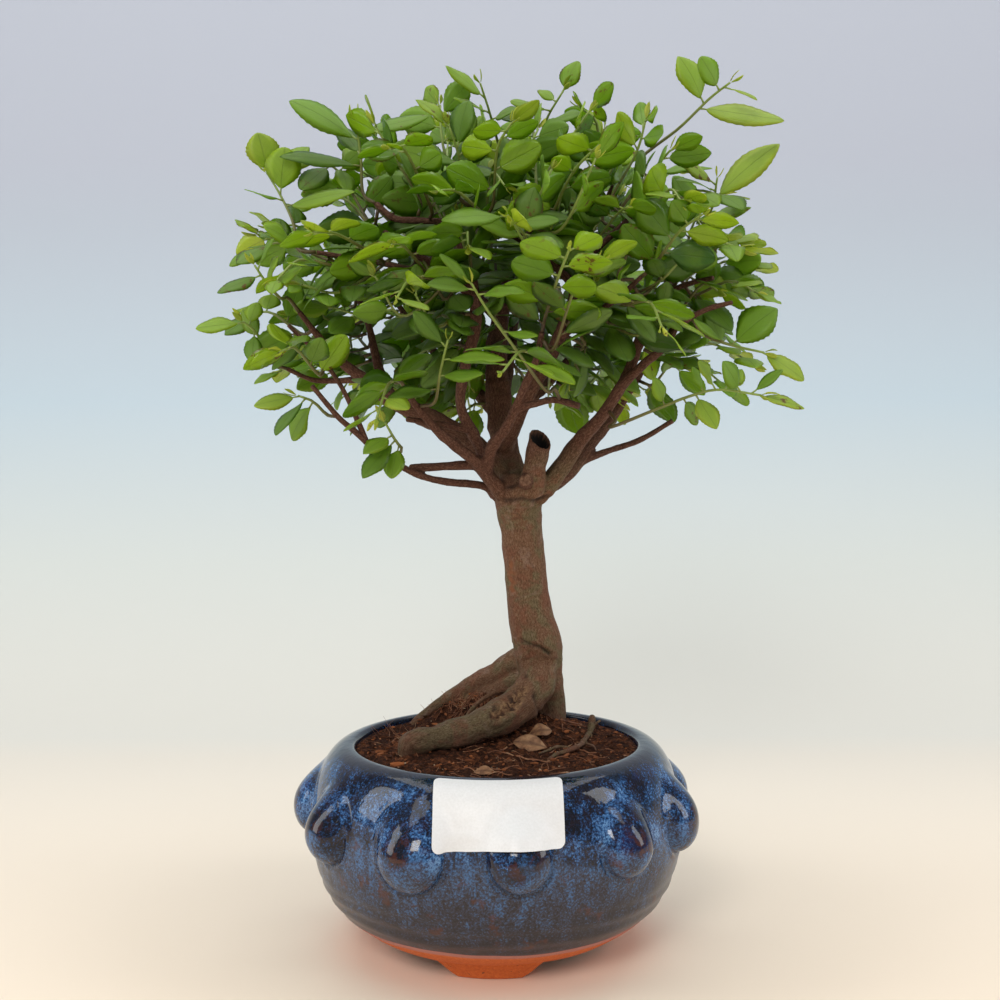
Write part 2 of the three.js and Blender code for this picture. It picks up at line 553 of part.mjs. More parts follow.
function treeSolid() {
  const stub = LIMBS.stub.at(-1);
  const below = LIMBS.stub.at(-2);
  const rise = vector(stub).sub(vector(below)).normalize();
  const ends = [-STUB_HOLE.depth, STUB_HOLE.above].map((run) => vector(stub).addScaledVector(rise, run));
  const hole = taperedTube(ends, [STUB_HOLE.bottom, STUB_HOLE.top], STUB_HOLE.sides, 1);
  return joined(Object.keys(LIMBS).map((name) => limbSolid(name))).subtract(solidOf(hole));
}

// Places along the limbs, for seating shoots and keeping leaves off the wood
function samplesAlong(name) {
  const points = LIMBS[name];
  const curve = smoothCurve(points.map(vector));
  const steps = WOOD_SAMPLES_PER_POINT * (points.length - 1);
  return Array.from({ length: steps + 1 }, (_, i) => {
    const place = (i / steps) * (points.length - 1);
    const first = Math.min(Math.floor(place), points.length - 2);
    return {
      limb: name,
      tip: i === steps,
      place: curve.getPoint(i / steps),
      tangent: curve.getTangent(i / steps),
      radius: THREE.MathUtils.lerp(points[first][3], points[first + 1][3], place - first),
    };
  });
}

const woodSamples = Object.keys(LIMBS).flatMap(samplesAlong);

function distanceToWood(point) {
  return Math.min(...woodSamples.map(({ place, radius }) => point.distanceTo(place) - radius));
}

// A shoot is seated on the limb nearest to a point, off the other seats.
// It leaves the bark towards its goal.
const seats = [];

function seatFor(point, goal) {
  let best = null;
  for (const sample of woodSamples) {
    if (sample.radius > THICKEST_SEAT || sample.place.z < LOWEST_SEAT) continue;
    if (seats.some((seat) => seat.distanceTo(sample.place) < SEAT_SPACING)) continue;
    const gap = point.distanceTo(sample.place);
    if (!best || gap < best.gap) best = { gap, sample };
  }
  const { place, tangent, radius, tip } = best.sample;
  seats.push(place);
  const towards = goal.clone().sub(place).normalize();
  const onward = tip && towards.dot(tangent) > LEAST_ONWARD;
  const out = onward ? tangent.clone() : squareTo(towards, tangent);
  const start = place.clone().addScaledVector(out, onward ? SEAT_GAP : radius + SEAT_GAP);
  return [start, start.clone().addScaledVector(out, SEAT_RISE)];
}

// Leaves
const LEAF_OUTLINE = { large: [[0.3, 0.78], [0.55, 1], [0.82, 0.66]], small: [[0.38, 0.95], [0.75, 0.8]] };
const LARGE_LEAF = 19;
const SAMPLE_ROWS = [0.19, 0.29, 0.4, 0.53, 0.65, 0.77, 0.88, 0.98];
const SAMPLE_WIDTHS = [0.45, 0.7, 0.95, 0.95, 0.9, 0.75, 0.45, 0.1];
const SAMPLES_ACROSS = [-1, -0.5, 0, 0.5, 1];

function leafFrame(leaf) {
  const along = leaf.axis;
  const up = squareTo(leaf.normal, along);
  return { along, up, side: up.clone().cross(along) };
}

function leafPoint(leaf, share, across) {
  const { along, up, side } = leafFrame(leaf);
  return leaf.base.clone()
    .addScaledVector(along, share * leaf.length)
    .addScaledVector(side, across)
    .addScaledVector(up, LEAF_FOLD * Math.abs(across));
}

// The blade's rim from the left of its stalk round the tip to the right
function leafRim(leaf) {
  const stations = leaf.length > LARGE_LEAF ? LEAF_OUTLINE.large : LEAF_OUTLINE.small;
  const half = leaf.width / 2;
  return [
    ...stations.map(([share, width]) => leafPoint(leaf, share, -half * width)),
    leafPoint(leaf, 1, 0),
    ...stations.toReversed().map(([share, width]) => leafPoint(leaf, share, half * width)),
  ];
}

// Faces of a blade between two loops of corners: both faces fan from the tip, walls join the rims
function bladeTriangles(lower, upper, closed) {
  const count = lower.length;
  const tip = (count - 1) / 2;
  const triangles = [];
  for (let p = 0; p < count; p++) {
    const q = (p + 1) % count;
    if (p !== tip && q !== tip) {
      triangles.push(upper[tip], upper[p], upper[q], lower[tip], lower[q], lower[p]);
    }
    if (q || closed) triangles.push(lower[p], lower[q], upper[q], lower[p], upper[q], upper[p]);
  }
  return triangles;
}

// A blade grows out of four corners on the side of a stem
function growLeaf({ vertices, triangles }, leaf, corners) {
  const { up, side } = leafFrame(leaf);
  const wished = [[1, -1], [1, 1], [-1, 1], [-1, -1]].map(([out, rise]) => (
    side.clone().multiplyScalar(out).addScaledVector(up, rise)));
  const fit = (turn) => wished.reduce((sum, wish, i) => sum + vertices[corners[(i + turn) % 4]].dot(wish), 0);
  const best = [0, 1, 2, 3].sort((one, other) => fit(other) - fit(one))[0];
  const [rightLow, rightUp, leftUp, leftLow] = [0, 1, 2, 3].map((i) => corners[(i + best) % 4]);
  const { length } = vertices;
  const rim = leafRim(leaf);
  vertices.push(...rim.map((p) => p.clone().addScaledVector(up, -LEAF_THICKNESS / 2)));
  vertices.push(...rim.map((p) => p.clone().addScaledVector(up, LEAF_THICKNESS / 2)));
  const lower = [leftLow, ...rim.map((_, i) => length + i), rightLow];
  const upper = [leftUp, ...rim.map((_, i) => length + rim.length + i), rightUp];
  triangles.push(...bladeTriangles(lower, upper, false));
}

function leafSamples(leaf) {
  const points = [];
  SAMPLE_ROWS.forEach((share, row) => {
    for (const side of SAMPLES_ACROSS) {
      points.push(leafPoint(leaf, share, side * SAMPLE_WIDTHS[row] * leaf.width / 2));
    }
  });
  return points;
}

// Space already taken by shoots, kept in small cells
const taken = new Map();
const cellOf = (value) => Math.floor(value / LEAF_CLEARANCE);
const cellKey = (i, j, k) => `${i},${j},${k}`;

function take(points, owner) {
  for (const p of points) {
    const key = cellKey(cellOf(p.x), cellOf(p.y), cellOf(p.z));
    if (!taken.has(key)) taken.set(key, []);
    taken.get(key).push({ p, owner });
  }
}

function isFree(points, owner) {
  for (const p of points) {
    const [i, j, k] = [cellOf(p.x), cellOf(p.y), cellOf(p.z)];
    for (let a = i - 1; a <= i + 1; a++) {
      for (let b = j - 1; b <= j + 1; b++) {
        for (let c = k - 1; c <= k + 1; c++) {
          for (const other of taken.get(cellKey(a, b, c)) ?? []) {
            const clearance = other.owner === owner ? SISTER_CLEARANCE : LEAF_CLEARANCE;
            if (other.p.distanceTo(p) < clearance) return false;
          }
        }
      }
    }
  }
  return true;
}

// Ways in which a leaf may turn when its first place is taken, in degrees:
// swing in the spray, and roll about its own rib
const LEAF_TURNS = [
  [0, 0], [0, 22], [0, -22], [14, 0], [-14, 0], [20, 30], [-20, -30], [0, 48], [0, -48], [32, 10],
  [-32, 10],
];

function turned(leaf, swing, roll) {
  const { along, up } = leafFrame(leaf);
  const axis = along.clone().applyAxisAngle(up, THREE.MathUtils.degToRad(swing));
  const normal = up.clone().applyAxisAngle(axis, THREE.MathUtils.degToRad(roll));
  return { ...leaf, axis, normal };
}

// A blade leans away from its stem by at least a little
function leaningOut(leaf, tangent) {
  const axis = leaf.axis.clone().normalize();
  const along = axis.dot(tangent);
  if (Math.abs(along) < Math.cos(LEAST_SWING)) return { ...leaf, axis };
  const out = squareTo(axis, tangent);
  const leaning = tangent.clone().multiplyScalar(Math.sign(along) * Math.cos(LEAST_SWING));
  return { ...leaf, axis: leaning.addScaledVector(out, Math.sin(LEAST_SWING)) };
}

function placeLeaf(shoot, leaf) {
  for (const [swing, roll] of LEAF_TURNS) {
    const tried = leaningOut(turned(leaf, swing, roll), shoot.curve.getTangent(leaf.share));
    const samples = leafSamples(tried);
    if (samples.some((p) => distanceToWood(p) < WOOD_CLEARANCE)) continue;
    if (!isFree(samples, shoot.name)) continue;
    take(samples, shoot.name);
    shoot.leaves.push(tried);
    return true;
  }
  return false;
}

// A shoot's stem runs square off its limb, then along its own points
function stemFor(points) {
  const seat = seatFor(points[0], points[1]);
  return [...seat, ...points.filter((p) => p.distanceTo(seat[0]) > STEM_START)];
}

function stemSamples(route) {
  const curve = smoothCurve(route);
  const steps = Math.ceil(curve.getLength() / STEM_SAMPLE_STEP);
  return Array.from({ length: steps + 1 }, (_, i) => curve.getPoint(i / steps));
}

function startShoot(name, route) {
  take(stemSamples(route), name);
  return { name, curve: smoothCurve(route), leaves: [] };
}

// Leaves keep a little room between them along the stem, counted back from its end
function spacedShares(shares, length) {
  const order = shares.map((_, i) => i).sort((a, b) => shares[b] - shares[a] || b - a);
  const spaced = [];
  let limit = 1 - LEAF_ROOT / 2 / length;
  for (const i of order) {
    spaced[i] = Math.min(shares[i], limit);
    limit = spaced[i] - LEAF_ROOM / length;
  }
  return spaced;
}

function placedShoot(plan, draw) {
  const route = stemFor(plan.route.map(vector));
  const shoot = startShoot(`shoot_${plan.name}`, route);
  const first = route.length - plan.route.length;
  const shareOnRoute = (share) => (first + share * (plan.route.length - 1)) / (route.length - 1);
  const shares = spacedShares(plan.leaves.map((leaf) => shareOnRoute(leaf[0])), shoot.curve.getLength());
  plan.leaves.forEach(([, x, y, z, width], i) => {
    const run = new THREE.Vector3(x, y, z);
    const sideways = PLACED_FACING.sideways * (draw() - 0.5);
    placeLeaf(shoot, {
      share: shares[i],
      base: shoot.curve.getPoint(shares[i]),
      axis: run.clone().normalize(),
      normal: new THREE.Vector3(sideways, PLACED_FACING.front, PLACED_FACING.up),
      length: run.length(),
      width,
    });
  });
  return shoot;
}

// The other shoots end on the crown's limit, evenly on all sides
function crownTips() {
  const goldenAngle = Math.PI * (3 - Math.sqrt(5));
  const tips = [];
  for (let i = 0; i < CROWN.shoots; i++) {
    const height = 1 - (2 * (i + 0.5)) / CROWN.shoots;
    const out = Math.sqrt(1 - height * height);
    const tip = new THREE.Vector3(
      CROWN.centre[0] + CROWN.radii[0] * out * Math.cos(i * goldenAngle),
      CROWN.centre[1] + CROWN.radii[1] * out * Math.sin(i * goldenAngle),
      CROWN.centre[2] + CROWN.radii[2] * height,
    );
    if (tip.z > CROWN.lowest) tips.push(tip);
  }
  return tips;
}

function outwardAt(point) {
  return point.clone().sub(vector(CROWN.centre)).normalize();
}

function crownShoot(index, tip, draw) {
  const outward = outwardAt(tip);
  const inner = tip.clone().addScaledVector(outward, -SEAT_REACH);
  const seat = seatFor(inner, tip);
  const routes = STEM_LIFTS.map((lift) => {
    const middle = seat[0].clone().lerp(tip, STEM_BEND.share).addScaledVector(outward, STEM_BEND.out);
    middle.z += lift;
    return [...seat, middle, tip];
  });
  const name = `shoot_${String(index).padStart(2, '0')}`;
  const route = routes.find((tried) => isFree(stemSamples(tried), name));
  if (!route) return null;
  const shoot = startShoot(name, route);
  const facing = outward.clone().multiplyScalar(FACING.outward);
  facing.add(new THREE.Vector3(0, FACING.front, FACING.up));
  const stemLength = shoot.curve.getLength();
  const leafy = stemLength - BARE_STEM;
  const steps = Math.min(LEAVES_PER_SHOOT - 1, Math.floor(leafy / LEAF_SPACING));
  const evenShares = evenStops(steps).map((share) => (BARE_STEM + share * leafy) / stemLength);
  spacedShares(evenShares, stemLength).forEach((share, i) => {
    const tangent = shoot.curve.getTangent(share);
    const face = squareTo(facing, tangent);
    const side = tangent.clone().cross(face).multiplyScalar(i % 2 ? 1 : -1);
    const last = i === steps;
    const swing = last ? LEAST_SWING : THREE.MathUtils.degToRad(CROWN_LEAF.swing + SPREAD.swing * draw());
    const fullLength = last ? CROWN_LEAF.last : CROWN_LEAF.length - CROWN_LEAF.taper * share;
    const length = fullLength * (1 + SPREAD.length * (draw() - 0.5));
    const louvre = CROWN_LEAF.louvre + SPREAD.louvre * (draw() - 0.5);
    const roll = THREE.MathUtils.degToRad(i % 2 ? louvre : -louvre);
    const axis = tangent.clone().multiplyScalar(Math.cos(swing));
    axis.addScaledVector(side, Math.sin(swing)).normalize();
    placeLeaf(shoot, {
      share,
      base: shoot.curve.getPoint(share),
      axis,
      normal: squareTo(face, axis).applyAxisAngle(axis, roll),
      length,
      width: length * (CROWN_LEAF.width + SPREAD.width * draw()),
    });
  });
  return shoot;
}

function allShoots() {
  const draw = seededDraw(11);
  const shoots = PLACED_SHOOTS.map((plan) => placedShoot(plan, draw));
  const ends = shoots.map((shoot) => shoot.curve.points.at(-1));
  for (const tip of crownTips()) {
    if (ends.some((end) => end.distanceTo(tip) < SHOOT_SPACING)) continue;
    const shoot = crownShoot(shoots.length + 1 - PLACED_SHOOTS.length, tip, draw);
    if (!shoot) continue;
    ends.push(tip);
    shoots.push(shoot);
  }
  for (const tip of INNER_TIPS.map(vector)) {
    shoots.push(crownShoot(shoots.length + 1 - PLACED_SHOOTS.length, tip, draw));
  }
  return shoots;
}

// The turn of a ring nearest to the last one at which one of its sides faces a leaf
function turnFacing(leaf, tangent, before) {
  const out = squareTo(leaf.axis, tangent);
  const turns = Array.from({ length: STEM_SIDES }, (_, side) => {
    const angle = ((side + 0.5) / STEM_SIDES) * 2 * Math.PI;
    return { side, across: out.clone().applyAxisAngle(tangent, -angle) };
  });
  return turns.sort((one, other) => other.across.dot(before) - one.across.dot(before))[0];
}

// A shoot is one skin: a slim stem, with each blade growing out of a short length of it
function shootSolid({ curve, leaves }) {
  const length = curve.getLength();
  const half = LEAF_ROOT / 2 / length;
  const stops = [{ share: 0 }];
  const fillTo = (share) => {
    const from = stops.at(-1).share;
    const pieces = Math.max(1, Math.ceil(((share - from) * length) / STEM_STEP));
    for (let i = 1; i <= pieces; i++) stops.push({ share: from + ((share - from) * i) / pieces });
  };
  for (const leaf of leaves.toSorted((one, other) => one.share - other.share)) {
    fillTo(leaf.share - half);
    stops.at(-1).leaf = leaf;
    stops.push({ share: leaf.share + half });
  }
  if (1 - stops.at(-1).share > half) fillTo(1);
  let across = FIRST_ACROSS;
  let side = null;
  const rings = [];
  const open = new Map();
  stops.forEach(({ share, leaf }, ring) => {
    const tangent = curve.getTangent(share);
    across = squareTo(across, tangent);
    if (leaf) {
      ({ side, across } = turnFacing(leaf, tangent, across));
      open.set(ring, { leaf, side });
    }
    const radius = THREE.MathUtils.lerp(STEM_RADIUS, STEM_TIP_RADIUS, share);
    rings.push(ringAt(curve, share, across, radius, STEM_SIDES));
  });
  const skin = tubeSkin(rings, (ring, k) => open.get(ring)?.side === k);
  open.forEach(({ leaf, side: k }, ring) => growLeaf(skin, leaf, sideCorners(ring, k, STEM_SIDES)));
  return solidOf(geometryFrom(skin.vertices, skin.triangles));
}

// Small pieces on the soil and the pot
const LOOSE_ROOT = {
  radius: 0.9, sides: 5, steps: 10, route: [[17, -22], [21, -18], [26, -15], [29, -9], [32, 3], [35, 16]],
};

function looseRootSolid(growth = 0) {
  const { radius, sides, steps, route } = LOOSE_ROOT;
  const points = route.map(([x, y]) => new THREE.Vector3(x, y, soilHeight(x, y) + radius + GAP));
  return solidOf(taperedTube(points, route.map(() => radius + growth), sides, steps));
}

const FALLEN_LEAF_REST = 0.6;
const FALLEN_LEAVES = [
  { name: 'fallen_leaf_long', at: [9.5, -3], turn: 150, length: 11, width: 6.5 },
  { name: 'fallen_leaf_short', at: [18, 1], turn: 20, length: 8, width: 5.5 },
  { name: 'fallen_leaf_front', at: [-3, -30], turn: 10, length: 8, width: 4.5 },
];

function fallenLeafSolid({ at, turn, length, width }) {
  const angle = THREE.MathUtils.degToRad(turn);
  const ends = [-0.5, 0.5].map((share) => {
    const [x, y] = [at[0] + share * length * Math.cos(angle), at[1] + share * length * Math.sin(angle)];
    return new THREE.Vector3(x, y, soilHeight(x, y));
  });
  const run = ends[1].clone().sub(ends[0]);
  const normal = new THREE.Vector3(0, 0, 1);
  const leaf = { base: ends[0], axis: run.clone().normalize(), normal, length: run.length(), width };
  const rim = [ends[0], ...leafRim(leaf)];
  const count = rim.length;
  const highest = Math.max(...rim.map((p) => soilHeight(p.x, p.y) - p.z));
  const lift = FALLEN_LEAF_REST + LEAF_THICKNESS / 2 + highest;
  const face = (offset) => rim.map((p) => p.clone().setZ(p.z + lift + offset));
  const lower = rim.map((_, i) => i);
  const upper = rim.map((_, i) => count + i);
  const triangles = bladeTriangles(lower, upper, true);
  return solidOf(geometryFrom([...face(-LEAF_THICKNESS / 2), ...face(LEAF_THICKNESS / 2)], triangles));
}

function labelSolid() {
  const { columns } = LABEL;
  const rows = LABEL_HEIGHTS.length - 1;
  const middle = -Math.PI / 2 + LABEL.centre / POT_RADIUS;
  const half = LABEL.width / 2 / LABEL.potRadius;
  const inner = [];
  const outer = [];
  for (const height of LABEL_HEIGHTS) {
    const run = potRadiusAt(height + SLOPE_STEP) - potRadiusAt(height - SLOPE_STEP);
    const slope = run / (2 * SLOPE_STEP);
    const lean = Math.atan(-slope);
    for (let k = 0; k <= columns; k++) {
      const angle = middle + half * ((2 * k) / columns - 1);
      const at = (offset) => {
        const radius = potRadiusAt(height) + offset * Math.cos(lean);
        const rise = offset * Math.sin(lean);
        return new THREE.Vector3(radius * Math.cos(angle), radius * Math.sin(angle), height + rise);
      };
      inner.push(at(GAP));
      outer.push(at(GAP + LABEL.thickness));
    }
  }
  const triangles = [];
  const count = inner.length;
  const row = columns + 1;
  for (let i = 0; i < rows; i++) {
    for (let k = 0; k < columns; k++) {
      const [a, b, c, d] = [i * row + k, i * row + k + 1, (i + 1) * row + k + 1, (i + 1) * row + k];
      triangles.push(a, c, b, a, d, c, count + a, count + b, count + c, count + a, count + c, count + d);
    }
  }
  const border = [];
  for (let k = 0; k < columns; k++) border.push(k);
  for (let i = 0; i < rows; i++) border.push(i * row + columns);
  for (let k = columns; k > 0; k--) border.push(rows * row + k);
  for (let i = rows; i > 0; i--) border.push(i * row);
  border.forEach((a, i) => {
    const b = border[(i + 1) % border.length];
    triangles.push(a, b, count + b, a, count + b, count + a);
  });
  const knobs = joined(knobTurns.map((turn) => knobSolid(turn, GAP)));
  return largestPiece(solidOf(geometryFrom([...inner, ...outer], triangles)).subtract(knobs));
}

// Finishes
const FINISH = {
  glaze: { color: 0x1d2c4a, roughness: 0.22, metalness: 0 },
  net: { color: 0x20242a, roughness: 0.6, metalness: 0 },
  soil: { color: 0x2c1a12, roughness: 0.95, metalness: 0 },
  bark: { color: 0x5a4436, roughness: 0.85, metalness: 0 },
  leaf: { color: 0x5f9a2f, roughness: 0.4, metalness: 0 },
  deadLeaf: { color: 0x9c7350, roughness: 0.8, metalness: 0 },
  paper: { color: 0xf1efe9, roughness: 0.6, metalness: 0 },
};

const tree = treeSolid();
const rootsWithRoom = joined(ROOTS.map((name) => limbSolid(name, GAP)));
const netBox = new THREE.BoxGeometry(NET_ROOM.width, NET_ROOM.width, NET_ROOM.height);
const netRoom = solidOf(netBox.translate(0, 0, FLOOR_HEIGHT));
const fallenLeaves = FALLEN_LEAVES.map((plan) => fallenLeafSolid(plan));
const soil = largestPiece(soilBody().subtract(joined([rootsWithRoom, looseRootSolid(GAP), netRoom])));

const bonsai = new THREE.Group();
bonsai.add(meshNamed('pot', potSolid(), FINISH.glaze));
bonsai.add(meshNamed('drain_net', netSolid(), FINISH.net));
bonsai.add(meshNamed('soil', soil, FINISH.soil));
bonsai.add(meshNamed('tree', tree, FINISH.bark));
bonsai.add(meshNamed('loose_root', looseRootSolid(), FINISH.bark));
FALLEN_LEAVES.forEach((plan, i) => bonsai.add(meshNamed(plan.name, fallenLeaves[i], FINISH.deadLeaf)));
bonsai.add(meshNamed('label', labelSolid(), FINISH.paper));
for (const shoot of allShoots()) bonsai.add(meshNamed(shoot.name, shootSolid(shoot), FINISH.leaf));

// The origin is put under the middle of the whole plant's box
const plant = new THREE.Group();
const box = new THREE.Box3().setFromObject(bonsai);
const middle = box.getCenter(new THREE.Vector3());
bonsai.position.set(-middle.x, -middle.y, -box.min.z);
plant.add(bonsai);

export default plant;
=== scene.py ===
"""The looks of a sweet plum bonsai in a round glazed pot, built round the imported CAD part.

Measures are in millimetres from the pot's axis and the table, as in the CAD part, and turn into
metres in the part's own frame when a piece is made. Measures in the materials are in metres.
"""

import math
from contextlib import contextmanager

import bpy
import numpy as np
from mathutils import Matrix, Vector, kdtree, noise


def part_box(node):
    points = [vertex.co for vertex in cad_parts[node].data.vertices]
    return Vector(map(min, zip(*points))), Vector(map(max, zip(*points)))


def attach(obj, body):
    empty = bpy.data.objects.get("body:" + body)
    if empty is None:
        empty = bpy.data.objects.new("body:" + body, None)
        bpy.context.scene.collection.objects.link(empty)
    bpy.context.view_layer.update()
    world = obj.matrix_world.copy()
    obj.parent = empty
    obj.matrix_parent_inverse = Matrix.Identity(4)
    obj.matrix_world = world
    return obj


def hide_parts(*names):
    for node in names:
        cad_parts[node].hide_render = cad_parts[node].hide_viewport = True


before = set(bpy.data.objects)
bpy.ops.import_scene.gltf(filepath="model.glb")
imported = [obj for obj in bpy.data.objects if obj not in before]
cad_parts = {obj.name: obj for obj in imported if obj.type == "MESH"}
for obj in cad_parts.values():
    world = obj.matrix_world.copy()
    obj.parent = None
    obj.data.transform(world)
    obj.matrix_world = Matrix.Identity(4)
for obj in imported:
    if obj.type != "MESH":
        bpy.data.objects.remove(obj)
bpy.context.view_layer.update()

MM = 0.001
net_low, net_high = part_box("drain_net")
AXIS = np.array([(net_low.x + net_high.x) / 2, (net_low.y + net_high.y) / 2, 0.0])

# Seeds of the random draws
CROWN_SEED = 11
INNER_SEED = 37
FOLIAGE_SEED = 23
CRUMB_SEED = 31
FIBRE_SEED = 37

# Pot. Its profile is a list of (radius, height)
POT_RADIUS = 65
POT_WAIST = 40
RIM_RADIUS = 51
RIM_HEIGHT = 70.5
SHOULDER_POWER = 2.3
SHOULDER_START = 62
SHOULDER_HEIGHTS = [63.2, 64.4, 65.5, 66.5, 67.4, 68.2, 68.9, 69.5, 69.95, 70.25, 70.42]
MOUTH_RADIUS = 49.3
LIP = [
    (51.0, 70.5), (50.55, 70.35), (50.1, 70.0), (49.75, 69.5), (49.5, 68.8), (49.35, 68.0),
    (MOUTH_RADIUS, 66.5),
]
BASE_RADIUS = 32
BASE_HEIGHT = 4
FLOOR_HEIGHT = 10
DRAIN_RADIUS = 6
UNDERSIDE = [(DRAIN_RADIUS + 0.5, BASE_HEIGHT), (18, BASE_HEIGHT), (29, BASE_HEIGHT)]
POT_INSIDE = [
    (51, 63), (56, 57), (58.6, 50), (59.5, 43), (58.8, 34), (57, 26), (52, 18.5), (45, 13),
    (34, FLOOR_HEIGHT), (DRAIN_RADIUS + 0.6, FLOOR_HEIGHT), (DRAIN_RADIUS, FLOOR_HEIGHT - 0.6),
    (DRAIN_RADIUS, BASE_HEIGHT + 0.4), UNDERSIDE[0],
]
POT_SIDES = 400
BELLY_RINGS = 40
SHOULDER_RINGS = 22
# Faces are finer where the knobs stand
FINE_BAND = {"from": 33, "to": 63, "radius": 60.2}
WALL_WOBBLE = 0.45
# Points above this height keep the radius that LIP gives them
LIP_START = 62.5
KNOBS = 11
KNOB_TURN = math.radians(7)
KNOB_HEIGHT = 48.5
KNOB_HALF_WIDTH = 10.4
KNOB_HALF_HEIGHT = 11.2
KNOB_RISE = 7.8
# Each knob's shift round the pot in millimetres and its size, from the front one anticlockwise
KNOB_CHANCES = [
    (0, 1), (0.4, 0.97), (-0.6, 1.04), (0.5, 0.95), (-0.3, 1.05), (0.8, 0.98), (-0.7, 1.02),
    (0.2, 0.94), (-0.5, 1.03), (0.3, 1.0), (2.2, 1.13),
]
GLAZE_EDGE = 14.4
GLAZE_DEPTH = 0.4
RING_DEPTH = 0.24
RING_PITCH = 5.6
FEET = 3
FOOT_TURN = math.radians(-3)
FOOT_INSIDE = 26.0
FOOT_OUTSIDE = 39.3
FOOT_MIDDLE = 38
FOOT_HALF_WIDTH = 13.0
FOOT_BEVEL = 0.0013
# How much wider, further out and higher a foot gets where it meets the pot, and narrower at the table
FOOT_FLARE = {"wider": 6.6, "further": 7.2, "higher": 4.6, "narrower": 2.6}

# Label. It stands a little to the right of the front
LABEL_WIDTH = 42
LABEL_HEIGHT = 23.5
LABEL_CORNER = 2.4
LABEL_COLUMNS = 42
LABEL_ROWS = 24
LABEL_TURN = 1.4 / POT_RADIUS
LABEL_LIFT = 0.32
# The paper's bridge over the top of the knob below it
BRIDGE_RADIUS = 61.5
BRIDGE_WIDTH = 11
BRIDGE_RISE = 0.88 * KNOB_RISE
PAPER_THICKNESS = 0.00022

# Soil
SOIL_LEVEL = 67
SOIL_RADIUS = MOUTH_RADIUS - 0.4
SOIL_EDGE = SOIL_RADIUS + 0.3
SOIL_GRID = 170
SOIL_UNDERSIDE = [(55.3, 57), (58.8, 43), (56.3, 26), (44.4, 14), (30, 12.6)]
RIDGE = {"from": (2, 30), "to": (-19, 35), "height": 8.5, "spread": 7}
MOUND = {"centre": (13, 25), "height": 7, "spread": 13}
PEAT = {"from": (7, 27), "to": (-20, 36), "heights": (10, 1.5), "spread": 6}

# Crumbs and fibres on the soil: how many, round which place and how far from it, where None is
# all over the soil. A fibre has a length, a radius and a height to which its end may rise as well.
# A small share of the crumbs is bright, and the sizes are the least and what chance adds
CRUMB_GROUPS = [(1500, (0, 0), None), (350, (-8, 33), 20), (200, (13, 25), 20)]
CRUMB_SIZES = (0.26, 0.85)
BRIGHT_CRUMBS = 0.035
PALE_CRUMB = {"at": (-32.9, -24), "size": 1.7, "shade": 0.93}
FIBRE_GROUPS = [
    (130, (0, 0), None, 9, 0.14, 0.0),
    (120, (-6, 32), 17, 11, 0.16, 0.4),
    (30, (-14, 32), 14, 11, 0.10, 8.0),
    (14, (18, 22), 20, 9, 0.10, 6.0),
    (16, (-35, 12), 14, 14, 0.11, 6.0),
    (18, (0, 0), None, 16, 0.34, 0.0),
]

# The loose root and its branches: points on the soil, how high each is lifted, the room below
# and the radius at both ends
LOOSE_ROOT = [
    (
        [(35, 16), (34, 10), (32, 4), (30, -3), (26, -9), (21, -14), (18, -20)],
        [5.5, 2.4, 1, 0.6, 0.4, 0.3, 0.2], 0.8, (1.15, 0.62),
    ),
    ([(33.5, 10), (35.5, 14), (38, 17)], [2, 3.6, 4.6], 0.6, (0.62, 0.32)),
    ([(27, -7), (22, -7), (18, -9.5), (15, -14)], [0.4, 0.6, 0.5, 0.2], 0.5, (0.60, 0.28)),
    ([(31, -1), (34, -4), (35, -8)], [0.6, 0.8, 0.4], 0.4, (0.45, 0.2)),
]

# Fallen leaves, from base to tip: which way the face leans, how high they lie and how curled they are
FALLEN_LEAVES = {
    "long": {
        "from": (4.0, -4.0), "to": (17.6, -8.4), "width": 8.0,
        "lean": (0.1, -1.2), "rise": 2.3, "curl": 0.8,
    },
    "short": {
        "from": (21.4, 5.6), "to": (11.6, 2.6), "width": 7.6,
        "lean": (-0.3, -0.8), "rise": 2.5, "curl": 1.0,
    },
    "front": {
        "from": (-8.4, -35.6), "to": (0.4, -34.8), "width": 5.0,
        "lean": (0.1, -0.5), "rise": 1.0, "curl": 0.6,
    },
}

# Camera, from the photograph's viewing angle
CAMERA_DISTANCE = 471
CAMERA_HEIGHT = 183.4
CAMERA_ASIDE = 6
CAMERA_PITCH = 0.059
CAMERA_YAW = 0.009
CAMERA_ROLL = -0.005
CAMERA_LENS = 48.4

# Lamps, in metres: place, size, power in watts and colour
LIGHT_AIM = (0, 0, 0.15)
LAMPS = {
    "window_front": ((-0.30, -1.15, 0.85), (0.45, 0.40), 6.5, (1, 0.985, 0.96)),
    "side_left": ((-1.05, -0.15, 0.50), (0.35, 0.8), 3.0, (0.95, 0.98, 1)),
    "side_right": ((1.05, -0.2, 0.55), (0.35, 0.8), 3.4, (0.97, 0.98, 1)),
    "overhead": ((0, 0.15, 1.3), (1.6, 1.3), 13.0, (1, 0.99, 0.97)),
}
ROOM_COLOUR = (0.86, 0.88, 0.90, 1)
ROOM_STRENGTH = 0.36

# Backdrop, in metres: a floor that curves up into a wall behind the pot
FLOOR_SIZE = 6
FLOOR_BACK = 0.3
CURVE_RADIUS = 0.35
CURVE_STEPS = 12
WALL_HEIGHT = 1.6

